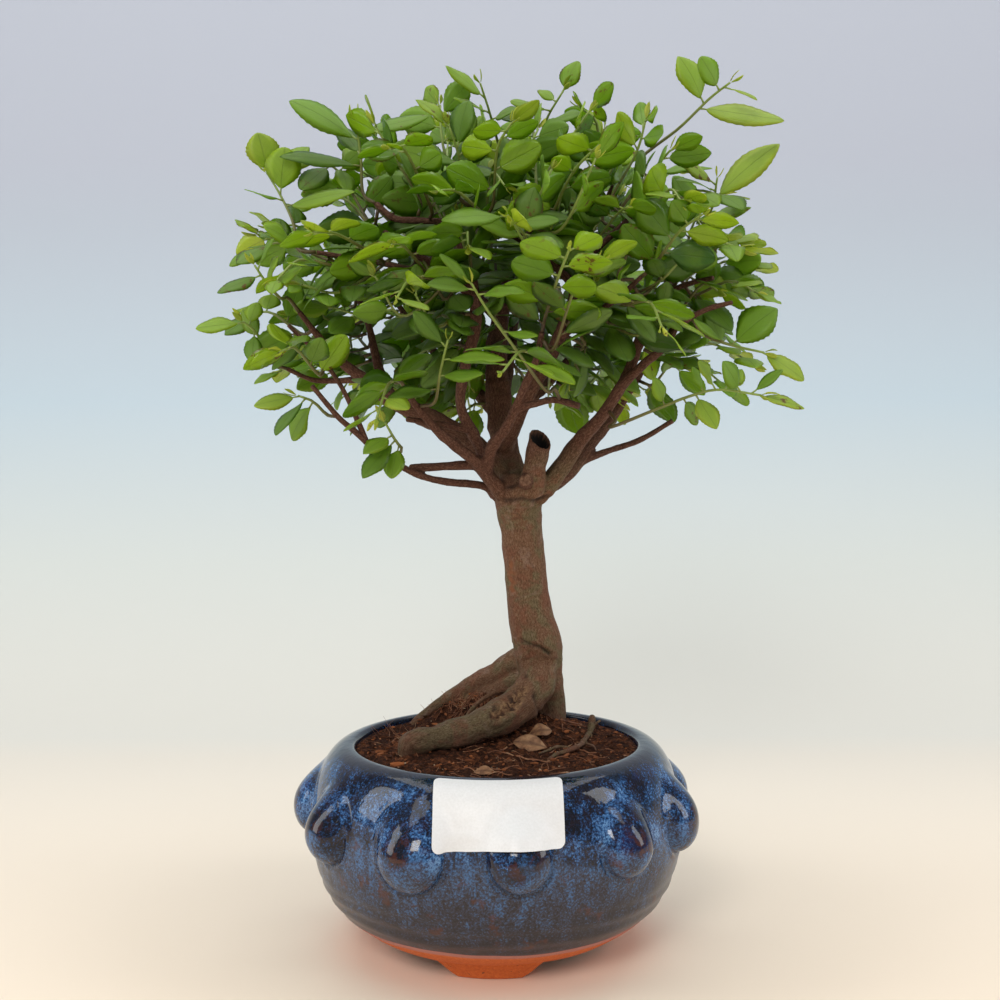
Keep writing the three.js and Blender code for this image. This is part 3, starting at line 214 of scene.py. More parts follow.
# Wood: each limb is a list of points on its middle line, [x, y, z, radius]
LIMBS = {
    "trunk": [
        [20, 26, 44, 5.5], [20, 26, 60, 5.5], [20, 26, 73, 5.4], [19, 25, 83, 6.2], [16, 22, 93, 8.6],
        [15, 20, 102, 9.1], [13, 19, 110, 8.5], [11.5, 18, 121, 7.8], [10.5, 17, 132, 7.7],
        [9.4, 16, 143, 7.6], [8.5, 15, 152, 8.4], [8.5, 14.5, 158, 9.4], [8.5, 15, 164, 7],
    ],
    "front_root": [
        [16, 20, 97, 6.4], [15, 16, 88, 6.3], [9, 10, 81, 6.1], [1, 4, 77.5, 5.5], [-9, -2, 75, 5.1],
        [-18, -5, 73, 4.5], [-26, -8, 72, 4], [-32, -10, 70, 3.2], [-37, -12, 65, 2.2],
    ],
    "back_root": [
        [14, 22, 97, 5], [6.5, 26, 94, 4.4], [0, 30, 89, 3.8], [-7, 34, 85, 3.4], [-15, 36, 80, 2.8],
        [-23, 36, 75, 2.3], [-31, 34, 69, 1.8], [-36, 32, 63, 1.4],
    ],
    "thin_root": [
        [15, 24.5, 84, 1.2], [6, 24, 83.5, 0.9], [0, 22, 83, 0.9], [-6, 20, 80, 0.8], [-11, 17, 75, 0.8],
        [-14, 15, 66, 0.8],
    ],
    "stub": [[10, 9, 155, 4.4], [13, 6, 160, 4.3], [14.3, 2, 168.5, 4], [16, -1, 177, 4.2]],
    "front_left": [
        [6, 12, 154, 3.6], [3, 10, 157, 3], [-3, 3, 164.5, 2.5], [-6.5, -2, 169, 2.3], [-13.5, -9, 175, 2],
        [-19, -16, 180, 1.7], [-25.5, -22, 188, 1.2], [-28, -25, 192, 0.9],
    ],
    "front_fork": [
        [-3, 3, 165, 2.3], [-1, -6, 174, 2.1], [4, -12, 181, 1.8], [7.5, -18, 188, 1.6],
        [10, -22, 194, 1.5], [14, -25, 203, 1.3], [16, -30, 212, 1],
    ],
    "front_twig": [[7, -17, 187, 1.4], [16, -22, 189.5, 1.2], [21, -26, 190, 1.2], [28, -30, 188, 1.1]],
    "inner_left": [
        [-2, 5, 164, 2.3], [-4, 2, 171, 2.1], [-8, -3, 180, 2.1], [-11, -7, 186, 1.9],
        [-11.5, -10, 192, 1.8], [-9.5, -12, 203, 2], [-6, -12, 216.5, 2.1], [-7.5, -14, 232, 1.9],
        [-11, -16, 242, 1.5], [-15, -18, 249, 1.2], [-25, -19, 250, 1.3], [-33, -18, 251, 1.2],
        [-39, -16, 256, 1],
    ],
    "inner_twig": [[-9, -4, 180, 1.3], [-19.5, -12, 182.5, 1], [-29, -20, 184, 0.9]],
    "crossing_left": [
        [-8, -13, 226, 1.7], [-14, -13, 232, 1.6], [-20, -14, 236, 1.5], [-29, -16, 241, 1.3],
        [-37, -15, 247, 1.1],
    ],
    "straight_twig": [
        [-8, -14, 231, 1.2], [-16, -16, 231.5, 1], [-38, -20, 236, 0.9], [-58, -25, 239, 0.7],
    ],
    "long_left": [
        [7, 15, 156, 5], [4, 16, 162, 3.6], [-1, 18, 168.5, 3.6], [-11.5, 14, 178, 3.6],
        [-26, 8, 185.5, 3.5], [-36, 2, 191, 3.1], [-44.5, -3, 197.5, 2.4], [-52, -8, 203.5, 1.7],
        [-59.5, -14, 212.5, 1.2], [-65, -18, 220, 0.9],
    ],
    "left_twig": [
        [-45, -3.5, 198, 1.4], [-56, -1, 197.5, 0.9], [-63.5, -4, 198, 0.9], [-71, -8, 201.5, 0.7],
    ],
    "left_spur": [
        [-35, 5, 190, 2.4], [-40, 10, 198, 2], [-43, 13, 208, 1.6], [-46, 16, 220, 1.2],
        [-52, 20, 234, 0.9],
    ],
    "low_left": [
        [0, 14, 157, 2.4], [-4, 10, 160, 1.6], [-17, 2, 162, 1.4], [-23.5, -2, 163.5, 1.3],
        [-29, -6, 166, 1.3], [-38.5, -14, 172, 1.2], [-46, -20, 179.5, 1.1], [-51.5, -26, 185, 1],
        [-59, -32, 195, 0.8],
    ],
    "low_left_twig": [
        [-43, -17.5, 176.5, 1], [-48.5, -24, 191, 0.8], [-52.5, -26, 198.5, 0.7], [-57.5, -30, 205.5, 0.7],
        [-66, -35, 214.5, 0.6],
    ],
    "cut_twig": [[-4, 2, 168, 2], [-10, 1, 167.8, 1.7], [-20, 0, 167.4, 1.6], [-30, -2, 167, 1.4]],
    "right": [
        [11, 12, 155, 5], [16.5, 10, 158, 3.8], [22.5, 8, 165, 3.5], [27, 6, 172, 3.1], [31, 4, 177.5, 2.7],
        [38, 0, 185.5, 2.2], [44.5, -4, 195.5, 1.9], [52, -8, 203, 1.7], [57.5, -12, 208, 1.4],
        [64, -18, 219, 1.2],
    ],
    "right_tip": [[60, -14, 213, 1.2], [66, -20, 217.5, 1], [71.5, -24, 220, 0.9], [78, -29, 221.5, 0.7]],
    "right_back": [
        [11, 17, 155, 5], [16, 18, 158, 3.2], [23, 20, 161, 2.7], [31, 26, 168.5, 2.5], [36, 32, 175, 2.3],
        [44, 40, 184.5, 2.1], [55.5, 49, 202, 1.8], [62, 54, 214, 1.4],
    ],
    "right_back_low": [[31, 26, 168, 1.8], [42, 30, 172, 1.2], [54, 32, 176, 1.1], [66, 32, 183, 0.9]],
    "leader": [
        [8, 15, 157, 6], [7, 18, 163, 4.9], [4, 24, 172, 4.8], [2, 26, 182.5, 4.8], [1, 28, 194, 4.6],
        [0.5, 30, 209, 4], [3, 30, 227.5, 3], [6.5, 30, 246, 2.2], [8.5, 27, 264, 1.5], [10, 22, 276, 1],
    ],
    "twisted": [
        [3, 22, 172, 3], [6.5, 12, 180, 2.6], [11.5, 6, 191.5, 2.5], [18.5, 2, 203.5, 2.5],
        [24, -2, 215.5, 2.4], [28, -4, 227, 2.3], [24, -8, 234, 2.1], [16.5, -12, 239, 1.9],
        [8, -17, 245, 1.7], [-1.5, -22, 248, 1.3], [-7, -25, 253, 1],
    ],
    "front_right_twig": [
        [24, -3, 213, 1.6], [33.5, -12, 219, 1], [41, -20, 223.5, 1], [48.5, -28, 230, 0.8],
    ],
    "upper_twig": [[26, -5, 232, 1.5], [35, -12, 241, 1.2], [45, -18, 250, 0.9], [50, -20, 256, 0.8]],
    "right_riser": [
        [43, -3, 193.5, 1.8], [47, -1, 201, 2], [50, 1, 209, 2.1], [55, 4, 219.5, 2.1], [58, 6, 225, 1.9],
        [63, 10, 234.5, 1.6], [67, 12, 244, 1.2],
    ],
    "right_riser_twig": [[56, 4, 222, 1.5], [62, -2, 228, 1], [67.5, -7, 230, 0.9], [74, -14, 231, 0.8]],
    "centre_back": [
        [1.5, 27, 190, 3], [4, 38, 199, 2.4], [6, 50, 212, 2], [8, 58, 228, 1.5], [9, 62, 242, 1],
    ],
    "back_left": [
        [1, 27, 186, 3], [-8, 36, 195, 2.2], [-20, 46, 206, 1.8], [-33, 52, 221, 1.4], [-42, 54, 236, 1],
    ],
    "left_back": [
        [-24, 9, 184, 2.6], [-32, 20, 190, 2], [-42, 30, 197, 1.7], [-54, 36, 206, 1.3],
        [-63, 38, 217, 0.9],
    ],
    "crown_left": [
        [2, 29, 221, 2.4], [-10, 28, 232, 1.8], [-22, 24, 244, 1.5], [-32, 20, 258, 1.1],
        [-37, 16, 268, 0.8],
    ],
    "crown_right": [
        [4, 30, 228, 2.4], [16, 27, 238, 1.8], [28, 22, 248, 1.5], [39, 15, 260, 1.1], [44, 8, 270, 0.8],
    ],
    "back_right": [
        [2.5, 27, 181, 3], [12, 36, 190, 2.2], [24, 46, 202, 1.8], [36, 54, 218, 1.4], [42, 57, 232, 1],
    ],
}

# Wood that is only modelled here: a heel of root under the back root, a cut knot beside the stub,
# and a blunt end on the front root
HEEL = [
    [15, 24, 91, 4.6], [8, 26, 87.5, 4.7], [1, 29.5, 82.5, 4.2], [-7, 33, 78.5, 3.6], [-16, 35.5, 75, 2.6],
]
CUT_KNOT = [[11, 6, 161.5, 2.8], [10.9, 1.5, 162, 2.6], [10.8, -1.4, 162.4, 2.3]]
ROOT_END = [[-30.5, -9.2, 70.3, 3.4], [-32, -9.6, 62, 2]]
WOOD_SHAPES = {
    **LIMBS, "front_root": LIMBS["front_root"][:7] + ROOT_END, "heel": HEEL, "cut_knot": CUT_KNOT,
}
# How much thicker the bark makes a limb, at shares along it
BARK_SWELL = {
    "front_root": (
        [0, 0.22, 0.35, 0.48, 0.59, 0.68, 0.76, 0.84, 0.90, 1],
        [1, 1.06, 1.14, 0.97, 1.15, 0.95, 1.24, 1.26, 1.1, 0.9],
    ),
}
# Wood thinner than this is a twig, modelled as a plain tube
TWIG_RADIUS = 1.15
WOOD_VOXEL = 0.00062
SWELLING = 0.10
KNOTS = 0.25
TRUNK_LUMPINESS = 0.25
# Depth of the bark's relief, fine and broad, and how far the stub's top is cut aslant and hollowed
FINE_RELIEF = 0.22
BROAD_RELIEF = 0.55
STUB_SLANT = 0.62
STUB_HOLLOW = 6.5

# Cracks and folds in the bark, as lines along it with a depth and a width
CRACKS = [
    ([(9, 11, 104), (12.5, 10, 102.4), (16, 10.5, 101.6), (19.5, 12.5, 98.8)], 1.1, 0.6),
    ([(6, 12, 98), (9, 11, 95.5), (10.5, 10, 91)], 0.5, 0.7),
    ([(0.8, 12, 156.5), (4, 8, 155), (9, 5.5, 155.8), (14, 5.5, 154.8), (18.5, 9, 156.5)], 0.7, 0.8),
    ([(3, 9, 159.5), (7, 5, 160), (9.5, 3, 163)], 0.5, 0.6),
    ([(13, 3, 88), (14, 8, 82), (15.5, 12, 77)], 0.6, 0.7),
]
WOUND = [(-0.5, -1.5, 79.5), (5, 1, 82.5), (9.5, 4.5, 86.5)]
PATCH = [(5.6, 10.5, 122.5), (5.4, 10.5, 131.5)]
# The marks lie on the front, so that depth counts for less than the rest
MARK_REACH = np.array([1, 0.3, 1])

# Shape of the leaves and stems
BLADE_THICKNESS = 0.26
LONGEST_STALK = 1.8
BLADE_ROWS = 12
TOOTH_OUT = 1.035
TOOTH_IN = 0.975
STEM_RADII = (0.70, 0.36)
STALK_RADII = [0.40, 0.32, 0.24]
STEM_STEP = 2.5
# Any direction, from which the one across a line is made
ASKEW = np.array([0.31, 0.87, 0.38])

# Shoots with a place of their own: points on the stem, then leaves as
# [share of the stem, x, y, z of the blade from base to tip, width of the blade]
PLACED_SHOOTS = [
    ("top_left", [[-43, -12, 259], [-44, -16, 271], [-45, -20, 282]], [
        [0.8, -18, -6, 11, 11], [0.97, -1, 0, 8, 4], [0.86, 23, 4, 6, 8.5], [0.4, -25, -8, 3, 9],
        [0.55, -8, 7, 11, 8],
    ]),
    ("left_upper", [[-66, -22, 249], [-71, -17, 259], [-76, -14, 267]], [
        [1, -2, -3, 12, 11.5], [0.78, 9, 5, 12, 9], [0.5, 2, -3, 13, 11], [0.45, -10, -6, 2, 8],
        [0.3, 20, -8, 3, 8],
    ]),
    ("left_tip", [[-70, -26, 224], [-74, -30, 229], [-77, -33, 234]], [
        [0.7, -12, -6, -6, 6], [0.85, 5, -4, 10, 6], [0.5, 2, -5, 9, 8], [0.35, 10, -6, 5, 8],
    ]),
    ("left_low_tip", [[-74, -10, 208], [-80, -14, 213], [-84, -18, 217]], [
        [1, -13, -3, -2, 7], [0.8, 2, 4, 8, 6], [0.6, 0, -4, -9, 6], [0.4, -6, 5, 9, 6],
    ]),
    ("left_bottom", [[-55, -22, 186], [-60, -23, 190], [-65, -24, 192]], [
        [1, -14, -4, -3, 7.5], [0.75, -12, -8, -8, 8], [0.5, -8, 3, -11, 10], [0.25, -4, -9, -6, 8],
    ]),
    ("low_front_left", [[-30, -16, 173], [-33, -21, 177], [-36, -25, 183]], [
        [0.95, -6, -3, 7, 9], [0.75, -9, -6, -5, 8.5], [0.5, -9, -7, -10, 7.5], [0.3, -2, -5, -9, 7],
        [1, 5, -2, 7, 6],
    ]),
    ("front_arch", [[17, -36, 193], [8, -44, 205], [-1, -51, 217], [-6, -59, 225]], [
        [1, -7, -5, 8, 4], [0.93, -13, -4, 2, 7.5], [0.9, 12, -6, 1, 6.5], [0.5, 10, -7, -2, 5],
        [0.38, -9, -5, 9, 10], [0.25, 14, -8, -5, 6],
    ]),
    ("centre_left", [[-20, -26, 188], [-17, -36, 199], [-14, -45, 209]], [
        [0.95, -9, -4, 10, 8], [1, 5, -2, 10, 4], [0.7, 18, -8, 1, 6], [0.45, 14, -9, 0, 6],
        [0.25, -15, -8, -2, 7],
    ]),
    ("right_low", [[40, -12, 181], [54, -26, 187], [64, -31, 191], [73, -36, 193], [85, -43, 191]], [
        [0.3, -3, -3, 8, 6], [0.42, -4, -2, 7, 6], [0.45, 5, 4, -8, 7], [0.55, 6, -4, -11, 9.5],
        [0.62, -4, -2, 8, 4], [0.72, -5, -5, 8, 7], [0.78, 6, 5, 6, 6], [0.88, -6, -5, 9, 8],
        [0.98, 9, -4, 5, 5], [1, 13, -4, -3, 5],
    ]),
    ("right_mid", [[72, -18, 211], [79, -22, 208], [88, -32, 205]], [
        [0.5, 12, -4, 11, 13], [0.9, 7, -3, 15, 8.5], [1, 12, -6, -8, 8], [0.6, 5, -6, -8, 5],
        [0.4, -11, -6, 7, 6],
    ]),
    ("upper_right", [[49, -12, 270], [62, -18, 280], [71, -24, 288], [77, -29, 292]], [
        [0.35, 11, -4, 12, 10], [0.6, -7, -2, 14, 13], [0.57, 23, -6, -5, 10], [0.82, -6, -4, 9, 8],
        [0.9, 11, -4, -2, 7], [1, 3, -1, 7, 3], [0.2, 14, -5, 3, 8],
    ]),
    ("right_top", [[72, 4, 248], [74, -8, 254], [75, -16, 264]], [
        [0.7, 17, -5, 15, 12], [1, -14, -4, 10, 9.5], [0.85, -14, -7, 8, 8], [0.4, 12, -6, 2, 7],
        [0.35, -11, -6, 15, 12], [0.2, 14, -5, -5, 9], [1, 4, -2, 8, 4],
    ]),
    ("top_yellow", [[16, 6, 281], [19, -1, 288], [24, -7, 295]], [
        [1, 5, -2, 10, 10], [0.9, 8, -3, 1, 5], [0.8, -6, 3, 5, 5], [0.6, -12, -4, 2, 6],
        [0.4, 11, -6, 1, 8], [0.3, -13, -7, 2, 8],
    ]),
    ("top_centre_left", [[2, 6, 279], [-1, -6, 288], [-4, -14, 296]], [
        [0.75, -12, -4, 9, 6.5], [1, -3, -1, 8, 6], [0.5, -10, -5, 7, 7], [0.4, 9, -6, 4, 7],
        [0.25, 10, -6, -1, 8],
    ]),
    ("top_spotted", [[-10, -22, 262], [-11, -26, 270], [-14, -30, 279]], [
        [1, -8, -3, 9, 6], [0.6, 1, -4, 13, 12], [0.5, 9, -2, 9, 8], [0.4, -12, -6, 2, 8],
        [0.25, 9, -7, -2, 8],
    ]),
    ("front_big", [[12, -30, 240], [10, -44, 242], [5, -56, 246]], [
        [1, -17, -7, -1, 10], [0.8, 12, -6, 0, 7], [0.6, 4, -3, 12, 9], [0.5, 11, -8, -4, 9],
        [0.35, -13, -6, 5, 9],
    ]),
]

# How shoots and leaves are set out, as in the CAD part
LEAF_FOLD = 0.22
LEAST_SWING = math.radians(30)
SEAT_RISE = 6
SEAT_GAP = 0.25
SEAT_SPACING = 3.5
LOWEST_SEAT = 170
THICKEST_SEAT = 2.2
LEAF_CLEARANCE = 2.4
SISTER_CLEARANCE = 1.6
WOOD_CLEARANCE = 1.1
CROWN_CENTRE = np.array([3.0, 2.0, 226.0])
CROWN_RADII = np.array([91.0, 82.0, 70.0])
CROWN_SHOOTS = 52
CROWN_LOWEST = 184
INNER_TIPS = [[8, 24, 208], [-28, 0, 268], [44, 24, 196], [-28, 24, 196]]
SHOOT_SPACING = 24
LEAVES_PER_SHOOT = 9
LEAF_SPACING = 3.3
BARE_STEM = 9
LOUVRE = 26
STEM_LIFTS = [3, 8, -3, 13, -8, 18, -13]
LEAF_TURNS = [
    [0, 0], [0, 22], [0, -22], [14, 0], [-14, 0], [20, 30], [-20, -30], [0, 48], [0, -48], [32, 10],
    [-32, 10],
]
INNER_RINGS = [(0.96, 90, 1.1), (0.82, 80, 0.4), (0.66, 60, 2.0), (0.48, 34, 0.9)]
INNER_LOWEST = 186
INNER_OPENING = 38
INNER_ROOM = 0.5
INNER_REACH = 24
INNER_BARE_STEM = 4
INNER_SEAT_SPACING = 1.5
INNER_THICKEST_SEAT = 3.2
SAMPLE_ROWS = [0.19, 0.29, 0.4, 0.53, 0.65, 0.77, 0.88, 0.98]
SAMPLE_WIDTHS = [0.45, 0.7, 0.95, 0.95, 0.9, 0.75, 0.45, 0.1]
SAMPLES_ACROSS = [-1, -0.5, 0, 0.5, 1]


def seeded_draw(seed):
    """A repeatable draw between 0 and 1."""
    state = seed

    def draw():
        nonlocal state
        state = (state * 1664525 + 1013904223) % 2**32
        return state / 2**32

    return draw


def unit(vector):
    return vector / np.linalg.norm(vector)


def square_to(direction, axis):
    return unit(direction - axis * direction.dot(axis))


def turned_about(vector, axis, angle):
    """The vector, turned about a unit axis."""
    return (
        vector * math.cos(angle)
        + np.cross(axis, vector) * math.sin(angle)
        + axis * axis.dot(vector) * (1 - math.cos(angle))
    )


class Route:
    """A smooth line through points, with its shares counted from 0 to 1."""

    def __init__(self, points):
        self.points = np.array(points, float)
        before = 2 * self.points[0] - self.points[1]
        after = 2 * self.points[-1] - self.points[-2]
        self.padded = np.vstack([before, self.points, after])

    def at(self, shares):
        spans = len(self.points) - 1
        places = np.asarray(shares, float) * spans
        first = np.minimum(places.astype(int), spans - 1)
        w = (places - first)[..., None]
        a, b, c, d = (self.padded[first + i] for i in range(4))
        start, end = 0.5 * (c - a), 0.5 * (d - b)
        square = -3 * b + 3 * c - 2 * start - end
        cube = 2 * b - 2 * c + start + end
        return b + start * w + square * w**2 + cube * w**3

    def tangent(self, share):
        return unit(self.at(min(1, share + 0.0001)) - self.at(max(0, share - 0.0001)))

    def length(self):
        return np.linalg.norm(np.diff(self.at(np.linspace(0, 1, 201)), axis=0), axis=1).sum()


# Places along the limbs, for seating shoots and keeping leaves off the wood
def wood_samples():
    rows = []
    for points in LIMBS.values():
        points = np.array(points, float)
        route = Route(points[:, :3])
        steps = 5 * (len(points) - 1)
        for i in range(steps + 1):
            radius = np.interp(i / 5, range(len(points)), points[:, 3])
            rows.append((route.at(i / steps), route.tangent(i / steps), radius, i == steps))
    return rows


WOOD = wood_samples()
WOOD_PLACES = np.array([row[0] for row in WOOD])
WOOD_RADII = np.array([row[2] for row in WOOD])


def clears_wood(points, room=WOOD_CLEARANCE):
    gaps = np.linalg.norm(points[:, None] - WOOD_PLACES[None], axis=2) - WOOD_RADII
    return gaps.min() >= room


seats = []


def seat_for(point, goal, spacing=SEAT_SPACING, thickest=THICKEST_SEAT):
    """The start of a stem on the limb nearest to a point, off the other seats."""
    may = (WOOD_RADII <= thickest) & (WOOD_PLACES[:, 2] >= LOWEST_SEAT)
    for seat in seats:
        may &= np.linalg.norm(WOOD_PLACES - seat, axis=1) >= spacing
    gaps = np.where(may, np.linalg.norm(WOOD_PLACES - point, axis=1), np.inf)
    place, tangent, radius, is_tip = WOOD[int(gaps.argmin())]
    seats.append(place)
    towards = unit(goal - place)
    onward = is_tip and towards.dot(tangent) > 0.4
    out = tangent if onward else square_to(towards, tangent)
    start = place + out * (SEAT_GAP if onward else radius + SEAT_GAP)
    return [start, start + out * SEAT_RISE]


def leaf_frame(leaf):
    up = square_to(leaf["normal"], leaf["axis"])
    return leaf["axis"], up, np.cross(up, leaf["axis"])


def leaf_samples(leaf):
    along, up, side = leaf_frame(leaf)
    return np.array([
        leaf["base"] + along * share * leaf["length"] + side * across + up * LEAF_FOLD * abs(across)
        for share, width in zip(SAMPLE_ROWS, SAMPLE_WIDTHS)
        for across in (k * width * leaf["width"] / 2 for k in SAMPLES_ACROSS)
    ])


# Space already taken by shoots
taken = {"points": np.zeros((0, 3)), "owners": np.zeros(0, int)}


def take(points, owner):
    taken["points"] = np.vstack([taken["points"], points])
    taken["owners"] = np.append(taken["owners"], np.full(len(points), owner))


def is_free(points, owner, clearance=LEAF_CLEARANCE, sister_clearance=SISTER_CLEARANCE):
    if not len(taken["points"]):
        return True
    low, high = points.min(0) - clearance, points.max(0) + clearance
    near = ((taken["points"] > low) & (taken["points"] < high)).all(1)
    if not near.any():
        return True
    gaps = np.linalg.norm(points[:, None] - taken["points"][near][None], axis=2)
    least = np.where(taken["owners"][near] == owner, sister_clearance, clearance)
    return not (gaps < least).any()


def leaf_turned(leaf, swing, roll):
    along, up, _ = leaf_frame(leaf)
    axis = turned_about(along, up, math.radians(swing))
    return {**leaf, "axis": axis, "normal": turned_about(up, axis, math.radians(roll))}


def leaning_out(leaf, tangent):
    """A blade leans away from its stem by at least a little."""
    axis = unit(leaf["axis"])
    along = axis.dot(tangent)
    if abs(along) < math.cos(LEAST_SWING):
        return {**leaf, "axis": axis}
    out = square_to(axis, tangent)
    leaning = tangent * math.copysign(math.cos(LEAST_SWING), along) + out * math.sin(LEAST_SWING)
    return {**leaf, "axis": leaning}


def place_leaf(shoot, leaf, room=1):
    for swing, roll in LEAF_TURNS:
        tried = leaning_out(leaf_turned(leaf, swing, roll), shoot["route"].tangent(leaf["share"]))
        samples = leaf_samples(tried)
        if not clears_wood(samples, room * WOOD_CLEARANCE):
            continue
        if is_free(samples, shoot["owner"], room * LEAF_CLEARANCE, room * SISTER_CLEARANCE):
            take(samples, shoot["owner"])
            shoot["leaves"].append(tried)
            return


def stem_samples(points):
    route = Route(points)
    steps = math.ceil(route.length() / 2)
    return route.at(np.arange(steps + 1) / steps)


def start_shoot(name, points):
    shoot = {"name": name, "owner": start_shoot.count, "route": Route(points), "leaves": []}
    start_shoot.count += 1
    take(stem_samples(points), shoot["owner"])
    return shoot


start_shoot.count = 0


def spaced_shares(shares, length):
    """Leaves keep a little room between them along the stem, counted back from its end."""
    spaced = list(shares)
    limit = 1 - 0.6 / length
    for i in sorted(range(len(shares)), key=lambda i: (shares[i], i), reverse=True):
        spaced[i] = min(shares[i], limit)
        limit = spaced[i] - 2 / length
    return spaced


def placed_shoot(name, points, leaves, draw):
    points = [np.array(point, float) for point in points]
    seat = seat_for(points[0], points[1])
    route = seat + [p for p in points if np.linalg.norm(p - seat[0]) > 1.5 * SEAT_RISE]
    shoot = start_shoot("shoot_" + name, route)
    first = len(route) - len(points)
    wished = [(first + leaf[0] * (len(points) - 1)) / (len(route) - 1) for leaf in leaves]
    shares = spaced_shares(wished, shoot["route"].length())
    for share, (_, x, y, z, width) in zip(shares, leaves):
        run = np.array([x, y, z], float)
        place_leaf(shoot, {
            "share": share,
            "base": shoot["route"].at(share),
            "axis": unit(run),
            "normal": np.array([0.5 * (draw() - 0.5), -0.7, 0.7]),
            "length": np.linalg.norm(run),
            "width": width,
        })
    return shoot


def crown_tips(count, size=1.0, turn=0.0):
    golden_angle = math.pi * (3 - math.sqrt(5))
    tips = []
    for i in range(count):
        height = 1 - 2 * (i + 0.5) / count
        out = math.sqrt(1 - height**2)
        angle = i * golden_angle + turn
        way = [out * math.cos(angle), out * math.sin(angle), height]
        tips.append(CROWN_CENTRE + size * CROWN_RADII * way)
    return tips


def crown_shoot(name, tip, draw, room=1, reach=30, bare=BARE_STEM, **seating):
    outward = unit(tip - CROWN_CENTRE)
    seat = seat_for(tip - reach * outward, tip, **seating)
    route = None
    for lift in STEM_LIFTS:
        middle = seat[0] + (tip - seat[0]) * 0.55 + 2 * outward + np.array([0, 0, lift])
        tried = [*seat, middle, tip]
        if is_free(stem_samples(tried), -1, room * LEAF_CLEARANCE):
            route = tried
            break
    if route is None:
        return None
    shoot = start_shoot(name, route)
    facing = 0.75 * outward + np.array([0, -0.1, 0.75])
    stem_length = shoot["route"].length()
    leafy = stem_length - bare
    steps = max(1, min(LEAVES_PER_SHOOT - 1, math.floor(leafy / LEAF_SPACING)))
    even = [(bare + i / steps * leafy) / stem_length for i in range(steps + 1)]
    for i, share in enumerate(spaced_shares(even, stem_length)):
        tangent = shoot["route"].tangent(share)
        face = square_to(facing, tangent)
        side = np.cross(tangent, face) * (1 if i % 2 else -1)
        is_last = i == steps
        swing = LEAST_SWING if is_last else math.radians(54 + 20 * draw())
        length = (11 if is_last else 17.5 - 5 * share) * (0.85 + 0.3 * draw())
        roll = math.radians((1 if i % 2 else -1) * (LOUVRE + 16 * (draw() - 0.5)))
        axis = unit(tangent * math.cos(swing) + side * math.sin(swing))
        place_leaf(shoot, {
            "share": share,
            "base": shoot["route"].at(share),
            "axis": axis,
            "normal": turned_about(square_to(face, axis), axis, roll),
            "length": length,
            "width": length * (0.54 + 0.14 * draw()),
        }, room)
    return shoot


def all_shoots():
    draw = seeded_draw(CROWN_SEED)
    shoots = [placed_shoot(*plan, draw) for plan in PLACED_SHOOTS]
    placed = len(shoots)
    ends = [shoot["route"].points[-1] for shoot in shoots]
    for tip in crown_tips(CROWN_SHOOTS):
        if tip[2] <= CROWN_LOWEST or min(np.linalg.norm(end - tip) for end in ends) < SHOOT_SPACING:
            continue
        shoot = crown_shoot(f"shoot_{len(shoots) + 1 - placed:02d}", tip, draw)
        if shoot:
            ends.append(tip)
            shoots.append(shoot)
    for tip in INNER_TIPS:
        shoots.append(crown_shoot(f"shoot_{len(shoots) + 1 - placed:02d}", np.array(tip, float), draw))
    return shoots


def inner_shoots():
    """Shoots between those of the CAD part, which fill the crown's inside."""
    draw = seeded_draw(INNER_SEED)
    rings = []
    for size, count, turn in INNER_RINGS:
        ring = []
        for i, tip in enumerate(crown_tips(count, size, turn)):
            in_front = np.clip((8 - tip[1]) / 40, 0, 1)
            if tip[2] < INNER_LOWEST + INNER_OPENING * in_front:
                continue
            shoot = crown_shoot(
                f"inner_{i:02d}", tip, draw, INNER_ROOM, INNER_REACH, INNER_BARE_STEM,
                spacing=INNER_SEAT_SPACING, thickest=INNER_THICKEST_SEAT,
            )
            if shoot and len(shoot["leaves"]) > 1:
                ring.append(shoot)
        rings.append(ring)
    return rings


# Modelling helpers
def to_frame(points):
    """Millimetres from the pot's axis, as metres in the part's frame."""
    return np.asarray(points, float) * MM + AXIS


def noise_at(x, y, z):
    """Smooth noise from about -1 to 1 at each point."""
    points = np.stack(np.broadcast_arrays(x, y, z), -1)
    return np.array([noise.noise(Vector(point)) for point in points])


def bell(distance, width):
    return np.exp(-((distance / width) ** 2))


def progress(value, start, end):
    """How far a value is from start to end, from 0 to 1."""
    return np.clip((value - start) / (end - start), 0, 1)


def hold(piece):
    """Only this piece is selected, in object mode."""
    if bpy.context.mode != "OBJECT":
        bpy.ops.object.mode_set(mode="OBJECT")
    bpy.ops.object.select_all(action="DESELECT")
    piece.select_set(True)
    bpy.context.view_layer.objects.active = piece


@contextmanager
def editing(piece):
    """Edit mode, with all of the piece selected."""
    hold(piece)
    bpy.ops.object.mode_set(mode="EDIT")
    bpy.ops.mesh.select_all(action="SELECT")
    yield
    bpy.ops.object.mode_set(mode="OBJECT")


def corners_of(piece):
    places = np.zeros(len(piece.data.vertices) * 3)
    piece.data.vertices.foreach_get("co", places)
    return places.reshape(-1, 3)


def local_corners(piece):
    """The corners in millimetres from the pot's axis."""
    return (corners_of(piece) - AXIS) / MM


def set_corners(piece, places):
    piece.data.vertices.foreach_set("co", np.asarray(places, float).ravel())
    piece.data.update()


def pick_corners(piece, chosen):
    """In edit mode, selects the corners for which chosen is true."""
    bpy.ops.mesh.select_all(action="DESELECT")
    bpy.ops.object.mode_set(mode="OBJECT")
    piece.data.vertices.foreach_set("select", np.asarray(chosen, bool))
    bpy.ops.object.mode_set(mode="EDIT")


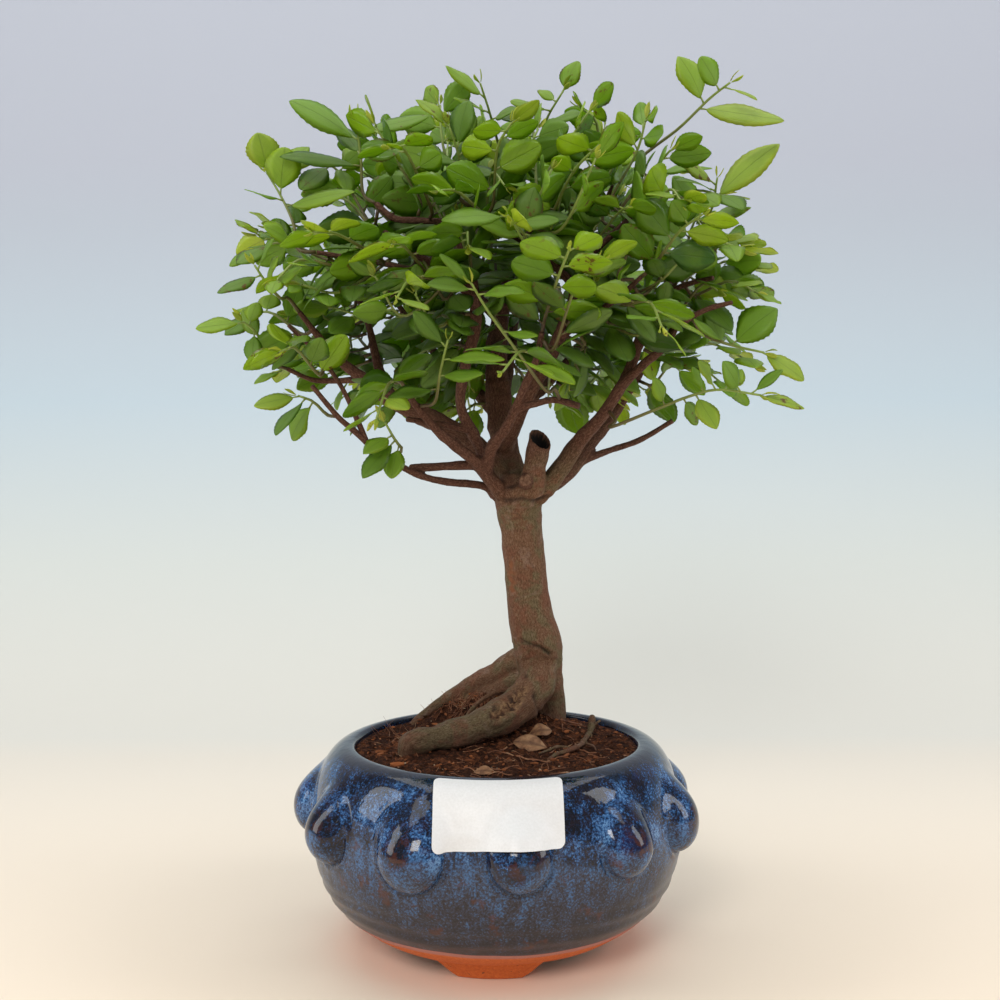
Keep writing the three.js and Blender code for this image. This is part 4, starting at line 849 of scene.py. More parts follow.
def mark(piece, name, values, kind="FLOAT"):
    """Gives every corner a value that the materials read."""
    field = {"FLOAT": "value", "FLOAT_VECTOR": "vector", "FLOAT_COLOR": "color"}[kind]
    piece.data.attributes.new(name, kind, "POINT").data.foreach_set(field, np.ravel(values))


def new_piece(name, corners, faces):
    """A piece from corners in millimetres and faces."""
    mesh = bpy.data.meshes.new(name)
    mesh.from_pydata(to_frame(corners).tolist(), [], faces)
    piece = bpy.data.objects.new(name, mesh)
    bpy.context.scene.collection.objects.link(piece)
    return piece


def parts_of(pattern):
    """The corners and faces of a piece, which is removed."""
    corners, faces = corners_of(pattern), [tuple(face.vertices) for face in pattern.data.polygons]
    bpy.data.objects.remove(pattern)
    return corners, faces


def repeated(faces, times, corner_count):
    """The faces of a piece that is laid down several times."""
    return [tuple(corner + i * corner_count for corner in face) for i in range(times) for face in faces]


def apply_modifier(piece, kind, **settings):
    hold(piece)
    modifier = piece.modifiers.new(kind.title(), kind)
    for key, value in settings.items():
        setattr(modifier, key, value)
    bpy.ops.object.modifier_apply(modifier=modifier.name)


def smooth(piece, angle=None):
    hold(piece)
    if angle is None:
        bpy.ops.object.shade_smooth()
    else:
        bpy.ops.object.shade_smooth_by_angle(angle=math.radians(angle))


def finish_piece(piece, material, stands_for=()):
    piece.data.materials.clear()
    piece.data.materials.append(material)
    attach(piece, "root")
    if stands_for:
        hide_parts(*stands_for)


def grow_rings(rings, flatness=1):
    """In edit mode, draws the selected first ring out to the next ones. Rings are (radius, height)."""
    for (radius, height), (next_radius, next_height) in zip(rings, rings[1:]):
        bpy.ops.mesh.extrude_region_move(
            TRANSFORM_OT_translate={"value": (0, 0, (next_height - height) * MM)}
        )
        share = next_radius / radius
        bpy.ops.transform.resize(
            value=(share, share, flatness), center_override=to_frame([0, 0, next_height])
        )


def ring_up(rings, sides):
    """A wall that grows from a circle ring by ring."""
    radius, height = rings[0]
    bpy.ops.mesh.primitive_circle_add(
        vertices=sides, radius=radius * MM, location=to_frame([0, 0, height])
    )
    piece = bpy.context.object
    with editing(piece):
        grow_rings(rings)
    bpy.ops.object.transform_apply(location=True, rotation=True, scale=True)
    return piece


def close_up(piece, distance=0.00002):
    """Corners that lie together become one, and the faces are turned outwards."""
    with editing(piece):
        bpy.ops.mesh.remove_doubles(threshold=distance)
        bpy.ops.mesh.normals_make_consistent(inside=False)


def tubes(name, lines, roundness=1):
    """Round wood or stems along lines, each (points, radii), as one piece."""
    curve = bpy.data.curves.new(name, "CURVE")
    curve.dimensions = "3D"
    curve.bevel_depth = 1
    curve.bevel_resolution = roundness
    curve.use_fill_caps = True
    for points, radii in lines:
        spline = curve.splines.new("POLY")
        spline.points.add(len(points) - 1)
        places = np.hstack([to_frame(points), np.ones((len(points), 1))])
        spline.points.foreach_set("co", places.ravel())
        spline.points.foreach_set("radius", np.asarray(radii, float) * MM)
    piece = bpy.data.objects.new(name, curve)
    bpy.context.scene.collection.objects.link(piece)
    hold(piece)
    bpy.ops.object.convert(target="MESH")
    close_up(bpy.context.object)
    return bpy.context.object


# Materials
class Value:
    """What a shader node gives, with which more can be reckoned."""

    def __init__(self, finish, socket):
        self.finish = finish
        self.socket = socket

    def __add__(self, other):
        return self.finish.number("ADD", self, other)

    def __mul__(self, other):
        return self.finish.number("MULTIPLY", self, other)

    def __sub__(self, other):
        return self.finish.number("SUBTRACT", self, other)

    def __rsub__(self, other):
        return self.finish.number("SUBTRACT", other, self)


class Finish:
    """A material, whose nodes are added one after another."""

    def __init__(self, name):
        self.material = bpy.data.materials.new(name)
        self.material.use_nodes = True
        self.nodes = self.material.node_tree.nodes
        self.links = self.material.node_tree.links
        self.shader = self.nodes["Principled BSDF"]
        self.output = self.nodes["Material Output"]

    def join(self, value, socket):
        if isinstance(value, Value):
            self.links.new(value.socket, socket)
        else:
            socket.default_value = value

    def node(self, kind, sockets, **settings):
        node = self.nodes.new("ShaderNode" + kind)
        for key, value in settings.items():
            setattr(node, key, value)
        for key, value in sockets.items():
            self.join(value, node.inputs[key])
        return node

    def add(self, kind, sockets, out=0, **settings):
        return Value(self, self.node(kind, sockets, **settings).outputs[out])

    def split(self, kind, value):
        """The three parts of a vector or a colour."""
        return [Value(self, part) for part in self.node(kind, {0: value}).outputs]

    def place(self, scale=(1, 1, 1)):
        """Object coordinates in metres, stretched."""
        return self.stretched(self.add("TexCoord", {}, out="Object"), scale)

    def stretched(self, where, scale):
        return self.add("Mapping", {"Vector": where, "Scale": scale})

    def attribute(self, name, out="Fac"):
        return self.add("Attribute", {}, out=out, attribute_name=name)

    def noise(self, where, scale, detail=3.0, roughness=0.5, distortion=0.0):
        return self.add("TexNoise", {
            "Vector": where, "Scale": scale, "Detail": detail, "Roughness": roughness,
            "Distortion": distortion,
        })

    def number(self, operation, a, b=0.0):
        return self.add("Math", {0: a, 1: b}, operation=operation)

    def between(self, value, low, high):
        """0 at low and 1 at high, smoothly."""
        sockets = {"Value": value, "From Min": low, "From Max": high}
        return self.add("MapRange", sockets, interpolation_type="SMOOTHSTEP")

    def ramp(self, value, *stops):
        node = self.node("ValToRGB", {"Fac": value})
        points = node.color_ramp.elements
        while len(points) < len(stops):
            points.new(0.5)
        for point, (position, colour) in zip(points, stops):
            point.position = position
            point.color = (*colour, 1)
        return Value(self, node.outputs["Color"])

    def blend(self, share, a, b):
        """A colour between two, which are colours or values."""
        node = self.node("Mix", {"Factor": share}, data_type="RGBA")
        for value, key in ((a, "A"), (b, "B")):
            socket = next(s for s in node.inputs if s.name == key and s.type == "RGBA")
            self.join((*value, 1) if isinstance(value, tuple) else value, socket)
        return Value(self, next(s for s in node.outputs if s.type == "RGBA"))

    def bump(self, height, distance, strength=1.0, **before):
        return self.add("Bump", {"Height": height, "Distance": distance, "Strength": strength, **before})

    def set(self, **values):
        for key, value in values.items():
            self.join(value, self.shader.inputs[key.replace("_", " ")])
        return self.material


def glaze_finish():
    f = Finish("blue mottled glaze over terracotta")
    where = f.place()
    _, _, height = f.split("SeparateXYZ", where)
    crest = f.attribute("crest")
    cloud = f.noise(where, 62, 4, 0.6, 0.7)
    runs = f.noise(f.place(scale=(1, 1, 0.4)), 230, 4, 0.65, 0.5)
    speck = f.noise(where, 1300, 4, 0.78)
    # Fine blue specks over black, close together where the glaze lies thick
    thick = cloud * 0.85 + runs * 0.65
    level = speck * 1.5 + (thick - 1.02) - crest * 0.13
    blue = f.ramp(
        level, (0.30, (0.004, 0.004, 0.009)), (0.44, (0.006, 0.014, 0.040)),
        (0.53, (0.014, 0.050, 0.145)), (0.63, (0.032, 0.120, 0.32)), (0.78, (0.14, 0.30, 0.55)),
    )
    violet = f.between(f.noise(where, 48, 2), 0.58, 0.72)
    blue = f.blend(violet * 0.35, blue, f.blend(0.5, blue, (0.030, 0.028, 0.22)))
    breaks = f.between(f.noise(where, 300, 4, 0.7), 0.46, 0.58) * (crest * 0.85 + 0.10)
    upper = f.blend(breaks, blue, (0.060, 0.017, 0.012))
    # Duller below the knobs, grey-brown with a thin scatter of blue
    scatter = speck * 1.1 + runs * 0.45 + (height - 0.036) * 7.0
    lower = f.ramp(
        scatter - 0.25, (0.36, (0.022, 0.017, 0.021)), (0.47, (0.036, 0.031, 0.042)),
        (0.55, (0.040, 0.056, 0.105)), (0.69, (0.058, 0.15, 0.33)),
    )
    rust = f.between(f.noise(where, 120, 4, 0.65), 0.57, 0.66)
    lower = f.blend(rust * 0.7, lower, (0.085, 0.026, 0.014))
    line = height + (f.noise(where, 75, 3) - 0.5) * 0.026
    body = f.blend(f.between(line, 0.0415, 0.0495), lower, upper)
    pins = 1.0 - f.between(f.add("TexVoronoi", {"Vector": where, "Scale": 1500}), 0.05, 0.10)
    body = f.blend(pins * 0.35, body, (0.22, 0.20, 0.20))
    rim = f.between(height + (cloud - 0.5) * 0.010, 0.0668, 0.0698)
    body = f.blend(rim * 0.9, body, (0.004, 0.006, 0.011))
    # Bare clay below the glaze line
    edge = height + (f.noise(where, 45, 2) - 0.5) * 0.0022
    bare = 1.0 - f.between(edge, 0.0142, 0.0146)
    clay = f.ramp(f.noise(where, 900, 4, 0.7), (0.3, (0.52, 0.100, 0.020)), (0.7, (0.70, 0.175, 0.038)))
    pink = f.between(edge, 0.0120, 0.0132)
    clay = f.blend(pink * 0.85, clay, (0.44, 0.20, 0.18))
    # Painted shade on the clay at the base, towards the table
    shade = f.between(height, 0.0052, 0.0042)
    clay = f.blend(shade, clay, (0.16, 0.055, 0.026))
    satin = f.between(line, 0.050, 0.036) * 0.21 + 0.07
    rough = f.add("Mix", {"Factor": bare, "A": satin, "B": 0.8})
    peel = f.bump(f.noise(where, 240, 2), 0.00025, 0.4)
    grain = f.bump(bare * f.noise(where, 1800, 3), 0.0003, 0.5, Normal=peel)
    colour = f.blend(bare, body, clay)
    return f.set(Base_Color=colour, Roughness=rough, Specular_IOR_Level=0.42, Normal=grain)


def clay_finish():
    f = Finish("bare terracotta")
    where = f.place()
    clay = f.ramp(f.noise(where, 900, 4, 0.7), (0.3, (0.54, 0.105, 0.020)), (0.7, (0.72, 0.185, 0.038)))
    # Patches of dirt darken the clay
    darkening = f.between(f.noise(where, 420, 4, 0.65), 0.62, 0.68)
    clay = f.blend(darkening, clay, (0.17, 0.055, 0.022))
    return f.set(Base_Color=clay, Roughness=0.8, Normal=f.bump(f.noise(where, 1800, 3), 0.0003, 0.5))


def leaf_finish():
    f = Finish("glossy leaf blade")
    x, along, _ = f.split("SeparateXYZ", f.add("UVMap", {}, uv_map="blade"))
    across = f.number("ABSOLUTE", x - 0.5)
    age, wear, chance = f.split("SeparateColor", f.attribute("tone", "Color"))
    upper = f.attribute("upper")
    where = f.place()
    # The tone runs from dark old green to young yellow-green. It also carries painted shade deep in the
    # crown and painted light at its outside.
    green = f.ramp(
        age, (0.0, (0.040, 0.110, 0.006)), (0.24, (0.115, 0.255, 0.008)), (0.48, (0.245, 0.455, 0.012)),
        (0.74, (0.45, 0.63, 0.020)), (1.0, (0.74, 0.73, 0.11)),
    )
    green = f.blend(f.between(chance, 0.74, 1.0) * 0.5, green, (0.040, 0.135, 0.032))
    patches = f.between(f.noise(where, 130, 3, 0.6), 0.40, 0.75)
    green = f.blend(patches * 0.35, green, (0.24, 0.38, 0.020))
    green = f.blend(upper * 0.55, green, (0.23, 0.37, 0.055))
    # Midrib and side veins
    rib = 1.0 - f.between(across, 0.006, 0.026)
    slant = f.number("FRACT", along * 6.5 + across * -6.0)
    vein = 1.0 - f.between(f.number("ABSOLUTE", slant - 0.5), 0.0, 0.07)
    green = f.blend(vein * 0.24, green, f.blend(0.6, green, (0.05, 0.13, 0.01)))
    green = f.blend(rib * 0.55, green, f.blend(0.5, green, (0.05, 0.10, 0.015)))
    # Brown spots and rims on worn leaves
    spots = f.noise(where, 380, 3, 0.6)
    worn = f.between(wear, 0.70, 0.90) * f.between(spots, 0.61, 0.65)
    rim = f.between(wear, 0.84, 0.90) * f.between(across + spots * 0.1, 0.46, 0.50)
    colour = f.blend(f.number("MAXIMUM", worn, rim * 0.6), green, (0.17, 0.060, 0.020))
    relief = vein * -0.4 + rib * -1.0 + f.noise(where, 600, 2)
    normal = f.bump(relief, 0.00022, 0.5)
    f.set(Base_Color=colour, Roughness=upper * 0.25 + 0.27, Specular_IOR_Level=0.55, Normal=normal)
    # Light shines through
    through = f.blend(0.5, colour, (0.52, 0.78, 0.02))
    light = f.add("BsdfTranslucent", {"Color": through, "Normal": normal})
    surface = Value(f, f.shader.outputs["BSDF"])
    f.join(f.add("MixShader", {0: 0.42, 1: surface, 2: light}), f.output.inputs["Surface"])
    return f.material


def stem_finish():
    f = Finish("young green stem")
    where = f.place()
    age = f.attribute("age") + f.noise(where, 300, 3) * 0.3
    colour = f.ramp(
        age, (0.1, (0.075, 0.035, 0.018)), (0.45, (0.13, 0.12, 0.03)), (0.9, (0.24, 0.33, 0.06))
    )
    return f.set(Base_Color=colour, Roughness=0.45, Normal=f.bump(f.noise(where, 900, 2), 0.0002, 0.5))


def bark_finish():
    f = Finish("sweet plum bark")
    grain = f.attribute("grain", "Vector")
    where = f.place()
    _, _, height = f.split("SeparateXYZ", where)
    fine = f.noise(f.stretched(grain, (1, 1, 0.42)), 2.3, 6, 0.76, 0.3)
    flake = f.noise(f.stretched(grain, (1, 1, 0.6)), 1.3, 4, 0.7, 0.4)
    broad = f.noise(where, 75, 4, 0.62, 0.8)

    def streaked(dark, middle, light):
        return f.ramp(fine, (0.34, dark), (0.50, middle), (0.66, light))

    brown = streaked((0.070, 0.032, 0.017), (0.165, 0.082, 0.043), (0.290, 0.170, 0.105))
    olive = streaked((0.062, 0.048, 0.022), (0.138, 0.104, 0.050), (0.240, 0.195, 0.110))
    colour = f.blend(f.between(broad, 0.46, 0.58) * 0.85, brown, olive)
    rosy = f.between(f.noise(where, 115, 4, 0.62), 0.50, 0.62)
    rose = f.ramp(fine, (0.34, (0.085, 0.028, 0.014)), (0.64, (0.26, 0.100, 0.055)))
    colour = f.blend(rosy * 0.65, colour, rose)
    pale = f.between(f.noise(where, 95, 5, 0.66, 1.0), 0.55, 0.68)
    buff = f.ramp(fine, (0.34, (0.14, 0.085, 0.060)), (0.64, (0.40, 0.27, 0.20)))
    colour = f.blend(pale * 0.5, colour, buff)
    colour = f.blend(f.between(flake, 0.40, 0.30) * 0.75, colour, (0.024, 0.013, 0.008))
    # Darker low down, towards the soil
    darkening = f.between(height + broad * 0.016, 0.098, 0.080)
    colour = f.blend(darkening * 0.5, colour, f.blend(0.6, colour, (0.050, 0.020, 0.010)))
    # Redder and darker in the crown: slim twigs have this darker, redder bark of their own, and over all
    # the wood high in the crown the same tone is painted shade under the leaves
    twig = streaked((0.036, 0.014, 0.009), (0.105, 0.043, 0.026), (0.230, 0.118, 0.078))
    slim = f.between(f.attribute("thick"), 4.0, 2.2)
    slim_and_crown_shade = f.number("MAXIMUM", slim, f.between(height, 0.158, 0.176) * 0.85)
    colour = f.blend(slim_and_crown_shade * f.between(height, 0.118, 0.150), colour, twig)
    # Marks: smooth patch, wound and cracks, cut ends, hollow
    patch = f.attribute("patch")
    bare = f.ramp(fine, (0.35, (0.17, 0.060, 0.026)), (0.65, (0.25, 0.095, 0.042)))
    colour = f.blend(patch, colour, bare)
    sore = f.ramp(
        f.noise(where, 430, 5, 0.7, 0.6), (0.40, (0.030, 0.014, 0.008)), (0.50, (0.130, 0.062, 0.032)),
        (0.64, (0.36, 0.215, 0.105)),
    )
    colour = f.blend(f.attribute("wound"), colour, sore)
    colour = f.blend(f.attribute("crack"), colour, (0.016, 0.010, 0.007))
    cut = f.ramp(f.noise(where, 620, 5, 0.7), (0.36, (0.085, 0.038, 0.021)), (0.64, (0.34, 0.19, 0.115)))
    colour = f.blend(f.attribute("cut") * 0.85, colour, cut)
    colour = f.blend(f.attribute("hollow"), colour, (0.004, 0.003, 0.003))
    relief = (fine * 0.8 + flake * 0.8) * (1.0 - patch * 0.8)
    normal = f.bump(relief, 0.0006, 0.8)
    return f.set(Base_Color=colour, Roughness=0.8, Specular_IOR_Level=0.3, Normal=normal)


def soil_finish():
    f = Finish("dark peaty soil")
    where = f.place()
    colour = f.ramp(
        f.noise(where, 520, 6, 0.75, 0.5), (0.36, (0.010, 0.004, 0.002)), (0.49, (0.060, 0.020, 0.009)),
        (0.60, (0.19, 0.064, 0.026)), (0.74, (0.42, 0.170, 0.075)),
    )
    damp = f.between(f.noise(where, 60, 3), 0.42, 0.60)
    colour = f.blend(damp * 0.65, colour, (0.030, 0.011, 0.006))
    rough = f.bump(f.noise(where, 1300, 5, 0.8), 0.0012, 0.9)
    return f.set(Base_Color=colour, Roughness=0.95, Specular_IOR_Level=0.15, Normal=rough)


def crumb_finish():
    f = Finish("soil crumbs")
    colour = f.ramp(
        f.attribute("shade"), (0.0, (0.025, 0.009, 0.004)), (0.40, (0.11, 0.036, 0.016)),
        (0.75, (0.26, 0.090, 0.036)), (0.93, (0.36, 0.115, 0.040)), (1.0, (0.50, 0.40, 0.28)),
    )
    grain = f.bump(f.noise(f.place(), 2200, 3), 0.0004, 0.8)
    return f.set(Base_Color=colour, Roughness=0.95, Specular_IOR_Level=0.15, Normal=grain)


def fibre_finish():
    f = Finish("dry root fibres")
    colour = f.ramp(
        f.noise(f.place(), 150, 4, 0.7), (0.35, (0.11, 0.036, 0.015)), (0.52, (0.26, 0.100, 0.045)),
        (0.68, (0.46, 0.29, 0.16)),
    )
    return f.set(Base_Color=colour, Roughness=0.8)


def dead_leaf_finish():
    f = Finish("dry fallen leaf")
    where = f.place()
    colour = f.ramp(
        f.noise(where, 260, 5, 0.7, 0.5), (0.32, (0.075, 0.028, 0.013)), (0.50, (0.25, 0.118, 0.052)),
        (0.68, (0.38, 0.215, 0.105)),
    )
    # Darker along the rib and the edge
    across = f.attribute("across")
    colour = f.blend(f.between(across, 0.30, 0.05) * 0.6, colour, (0.070, 0.026, 0.012))
    colour = f.blend(f.between(across, 0.75, 1.0) * 0.55, colour, (0.075, 0.026, 0.012))
    return f.set(Base_Color=colour, Roughness=0.7, Normal=f.bump(f.noise(where, 800, 3), 0.0004, 0.6))


def paper_finish():
    f = Finish("white label paper")
    where = f.place()
    colour = f.ramp(f.noise(where, 1400, 3), (0.3, (0.80, 0.80, 0.80)), (0.7, (0.86, 0.86, 0.865)))
    creased = f.bump(f.noise(where, 75, 3, 0.5, 1.2), 0.0008, 0.35)
    return f.set(Base_Color=colour, Roughness=0.42, Normal=creased)


def net_finish():
    f = Finish("black plastic mesh")
    where = f.place()
    colour = f.ramp(f.noise(where, 500, 3), (0.4, (0.012, 0.013, 0.014)), (0.7, (0.03, 0.03, 0.032)))
    return f.set(Base_Color=colour, Roughness=0.5, Normal=f.bump(f.noise(where, 1500, 2), 0.0002, 0.4))


# Pot
def pot_radius(height):
    if height >= POT_WAIST:
        rise = (height - POT_WAIST) / (RIM_HEIGHT - POT_WAIST)
        share = max(0, 1 - rise**SHOULDER_POWER) ** (1 / SHOULDER_POWER)
        return RIM_RADIUS + (POT_RADIUS - RIM_RADIUS) * share
    drop = (POT_WAIST - height) / (POT_WAIST - BASE_HEIGHT)
    return BASE_RADIUS + (POT_RADIUS - BASE_RADIUS) * math.sqrt(max(0, 1 - drop**2))


def pot_radii(heights):
    return np.array([pot_radius(height) for height in heights])


def knob_lift(angle, height):
    """How far the knobs stand out at an angle round the pot, and how near their crest it is.

    A knob runs into the shoulder above, and ends in a crease with a thin line round it below.
    """
    pitch = 2 * math.pi / KNOBS
    turned = angle + math.pi / 2 - KNOB_TURN + pitch / 2
    shift, size = np.array(KNOB_CHANCES)[(turned // pitch).astype(int) % KNOBS].T
    away = (turned % pitch - pitch / 2) * POT_RADIUS
    x = (away - shift) / (KNOB_HALF_WIDTH * size)
    y = (height - KNOB_HEIGHT) / (KNOB_HALF_HEIGHT * size)
    out = np.hypot(x, y)
    up = progress(y / np.maximum(out, 1e-6), -0.5, 0.8)
    up = up * up * (3 - 2 * up)
    below = np.clip(1 - out**2, 0, 1) ** 0.55
    above = np.clip(1 - (out / 1.4) ** 2, 0, 1) ** 1.5
    groove = -0.02 * bell(out - 1.04, 0.07) * (1 - up)
    line = 0.05 * bell(out - 1.17, 0.08) * (1 - up)
    lift = KNOB_RISE * (below * (1 - up) + above * up + groove + line)
    return lift, bell(np.hypot(x, y - 0.12), 0.5)


def make_pot(glaze, clay):
    below = POT_WAIST - (POT_WAIST - BASE_HEIGHT) * np.cos(np.linspace(0, math.pi / 2, BELLY_RINGS))
    above = np.linspace(POT_WAIST + 1, SHOULDER_START, SHOULDER_RINGS)
    outside = [(pot_radius(height), height) for height in [*below, *above, *SHOULDER_HEIGHTS]]
    pot = ring_up(UNDERSIDE + outside + LIP + POT_INSIDE, POT_SIDES)
    pot.name = "glazed_pot"
    close_up(pot)
    x, y, height = local_corners(pot).T
    knobbed = (height > FINE_BAND["from"]) & (height < FINE_BAND["to"])
    with editing(pot):
        pick_corners(pot, knobbed & (np.hypot(x, y) > FINE_BAND["radius"]))
        bpy.ops.mesh.subdivide(number_cuts=1)
    raise_knobs(pot)
    smooth(pot)
    finish_piece(pot, glaze, stands_for=["pot"])
    for i in range(FEET):
        make_foot(f"foot_{i + 1}", FOOT_TURN + i * 2 * math.pi / FEET, clay)


def raise_knobs(pot):
    """Moves the pot's outside to its knobs, throwing rings, glaze edge and unevenness."""
    local = local_corners(pot)
    x, y, height = local.T
    radius, angle = np.hypot(x, y), np.arctan2(y, x)
    wall = pot_radii(np.clip(height, BASE_HEIGHT, RIM_HEIGHT))
    outer = radius > wall - 0.7
    lift, crest = knob_lift(angle, height)
    # The wall is uneven, but not at its base and rim
    wobble = WALL_WOBBLE * noise_at(x / 21, y / 21, height / 14)
    wobble *= progress(height, 68, 48) * (height > 6)
    # Faint throwing rings below the knobs
    ripple = noise_at(angle * 1.1, 7, height / 30)
    rings = np.sin(2 * np.pi * (height + 2.5 * ripple) / RING_PITCH)
    rings *= RING_DEPTH * progress(height, 8, 14) * progress(height, 33, 25)
    # The clay lies a little deeper than the glaze that ends on it
    edge = GLAZE_DEPTH / (1 + np.exp(-(height - GLAZE_EDGE - 0.4 * ripple) / 0.22)) - GLAZE_DEPTH
    grown = np.where(outer, wall + lift + wobble + rings + edge * (height < 30), radius)
    grown = np.where(height > LIP_START, radius + np.where(outer, lift + wobble, 0), grown)
    mark(pot, "crest", np.where(outer, crest, 0))
    local[:, :2] *= (grown / radius)[:, None]
    set_corners(pot, to_frame(local))


def make_foot(name, turn, clay):
    """A block under the pot's edge, flared to meet the band of bare clay."""
    bpy.ops.mesh.primitive_cube_add(size=1, location=(0, 0, 0))
    foot = bpy.context.object
    foot.name = name
    with editing(foot):
        bpy.ops.mesh.subdivide(number_cuts=7)
    # Shares of the way round the pot, outwards and upwards
    x, y, z = corners_of(foot).T + 0.5
    tucked = np.clip(1 - z / 0.35, 0, 1) ** 2
    half_width = FOOT_HALF_WIDTH + FOOT_FLARE["wider"] * z**1.3 - FOOT_FLARE["narrower"] * tucked
    angle = turn + (2 * x - 1) * half_width / FOOT_MIDDLE
    radius = FOOT_INSIDE + (FOOT_OUTSIDE + FOOT_FLARE["further"] * z**1.5 - FOOT_INSIDE) * y
    height = z * (BASE_HEIGHT + 1.2 + FOOT_FLARE["higher"] * y**1.5)
    set_corners(foot, to_frame(np.stack([radius * np.sin(angle), -radius * np.cos(angle), height], 1)))
    apply_modifier(
        foot, "BEVEL", width=FOOT_BEVEL, segments=4, limit_method="ANGLE", angle_limit=math.radians(35)
    )
    close_up(foot)
    smooth(foot, 40)
    finish_piece(foot, clay)


def make_label(paper):
    """A blank paper sticker with rounded corners, pressed onto the pot's shoulder."""
    bpy.ops.mesh.primitive_plane_add(size=1, location=(0, 0, 0))
    label = bpy.context.object
    label.name = "paper_label"
    with editing(label):
        bpy.ops.transform.resize(value=(LABEL_WIDTH, LABEL_HEIGHT, 1))
        bpy.ops.mesh.bevel(offset=LABEL_CORNER, segments=5, affect="VERTICES")
        for count, span, normal in (
            (LABEL_COLUMNS, LABEL_WIDTH, (1, 0, 0)), (LABEL_ROWS, LABEL_HEIGHT, (0, 1, 0)),
        ):
            for i in range(1, count):
                bpy.ops.mesh.select_all(action="SELECT")
                at = (i / count - 0.5) * span
                bpy.ops.mesh.bisect(plane_co=(at * normal[0], at * normal[1], 0), plane_no=normal)
    x, y, _ = corners_of(label).T
    # Where the paper lies on the wall, measured down its curve
    heights = np.linspace(RIM_HEIGHT - 0.25, 44, 300)
    run = np.cumsum(np.hypot(np.diff(heights), np.diff(pot_radii(heights))))
    down = LABEL_HEIGHT / 2 - y
    place = np.interp(down, [0, *run], heights)
    wall = pot_radii(place)
    middle = -math.pi / 2 + LABEL_TURN
    lift, _ = knob_lift(middle + x / (wall + 1), place)
    over_knob = bell(x - (KNOB_TURN - LABEL_TURN) * BRIDGE_RADIUS, BRIDGE_WIDTH)
    bridge = BRIDGE_RISE * over_knob * progress(place, 63.5, 50.5) ** 1.5
    surface = wall + np.maximum(lift + 0.1, bridge)
    # A pinched fold near the top, and ripples and creases towards the bottom
    pinch = 0.8 * bell(x - 0.5 + 0.3 * (down - 10), 1.1) * bell(down - 11, 3.2)
    ripple = noise_at(x / 8, y / 5, 3)
    crease = 0.5 * abs(noise_at(x / 5, y / 9, 8))
    low = np.clip(-y / LABEL_HEIGHT + 0.35, 0, 1)
    uneven = (0.55 * abs(ripple) + crease) * low + 0.18 * low * (1 + np.sin(x / 2.4))
    radius = surface + LABEL_LIFT + pinch + uneven
    angle = middle + x / (surface + 1)
    height = place + (0.3 * ripple + 3.6 * over_knob) * low**2
    set_corners(label, to_frame(np.stack([radius * np.cos(angle), radius * np.sin(angle), height], 1)))
    apply_modifier(label, "SOLIDIFY", thickness=PAPER_THICKNESS, offset=1)
    smooth(label, 50)
    finish_piece(label, paper, stands_for=["label"])


# Soil
def nearest_on(x, y, start, end):
    """For points on the ground, the share of a line that lies nearest and how far it is away."""
    run = np.subtract(end, start)
    share = np.clip(((x - start[0]) * run[0] + (y - start[1]) * run[1]) / (run @ run), 0, 1)
    return share, np.hypot(x - start[0] - share * run[0], y - start[1] - share * run[1])


def soil_height(x, y):
    out = np.minimum(1, np.hypot(x, y) / SOIL_RADIUS)
    aside, behind = x - MOUND["centre"][0], y - MOUND["centre"][1]
    mound = MOUND["height"] * np.exp(-(aside**2 + behind**2) / (2 * MOUND["spread"] ** 2))
    _, away = nearest_on(x, y, RIDGE["from"], RIDGE["to"])
    ridge = RIDGE["height"] * np.exp(-(away**2) / (2 * RIDGE["spread"] ** 2))
    lumps = 0.5 * np.sin(0.43 * x + 1) * np.sin(0.51 * y + 2) + 0.3 * np.sin(0.9 * x - 0.7 * y)
    return SOIL_LEVEL + 1.2 * (1 - out * out) + (np.maximum(mound, ridge) + lumps) * (1 - out**6)


def ground_height(x, y):
    """The soil with the old peat that stands against the raised root's underside."""
    share, away = nearest_on(x, y, PEAT["from"], PEAT["to"])
    first, last = PEAT["heights"]
    return soil_height(x, y) + (first + share * (last - first)) * bell(away, PEAT["spread"])


def rough_ground_height(x, y):
    """The same with its clods, banked up towards the back of the rim."""
    clods = (
        0.9 * noise_at(x / 4.2, y / 4.2, 0) + 0.55 * abs(noise_at(x / 1.7, y / 1.7, 5))
        + 0.3 * noise_at(x / 0.8, y / 0.8, 9)
    )
    out = np.hypot(x, y)
    calm = np.clip((SOIL_RADIUS - out) / 3, 0, 1)
    banked = 1.5 * progress(out, 36, 46) * progress(y, -30, 0)
    return ground_height(x, y) + clods * (0.35 + 0.65 * calm) + banked


def make_soil(finish):
    bpy.ops.mesh.primitive_grid_add(
        x_subdivisions=SOIL_GRID, y_subdivisions=SOIL_GRID, size=2, location=(0, 0, 0)
    )
    soil = bpy.context.object
    soil.name = "soil_bed"
    # The square grid becomes round
    u, v, _ = corners_of(soil).T
    x = u * np.sqrt(1 - v * v / 2) * SOIL_EDGE
    y = v * np.sqrt(1 - u * u / 2) * SOIL_EDGE
    set_corners(soil, to_frame(np.stack([x, y, rough_ground_height(x, y)], 1)))
    with editing(soil):
        pick_corners(soil, np.maximum(abs(u), abs(v)) > 0.9999)
        grow_rings([(SOIL_EDGE, SOIL_LEVEL), *SOIL_UNDERSIDE], flatness=0.1)
        bpy.ops.mesh.extrude_region_move(TRANSFORM_OT_translate={"value": (0, 0, 0)})
        bpy.ops.mesh.merge(type="COLLAPSE")
    close_up(soil)
    smooth(soil)
    finish_piece(soil, finish, stands_for=["soil"])


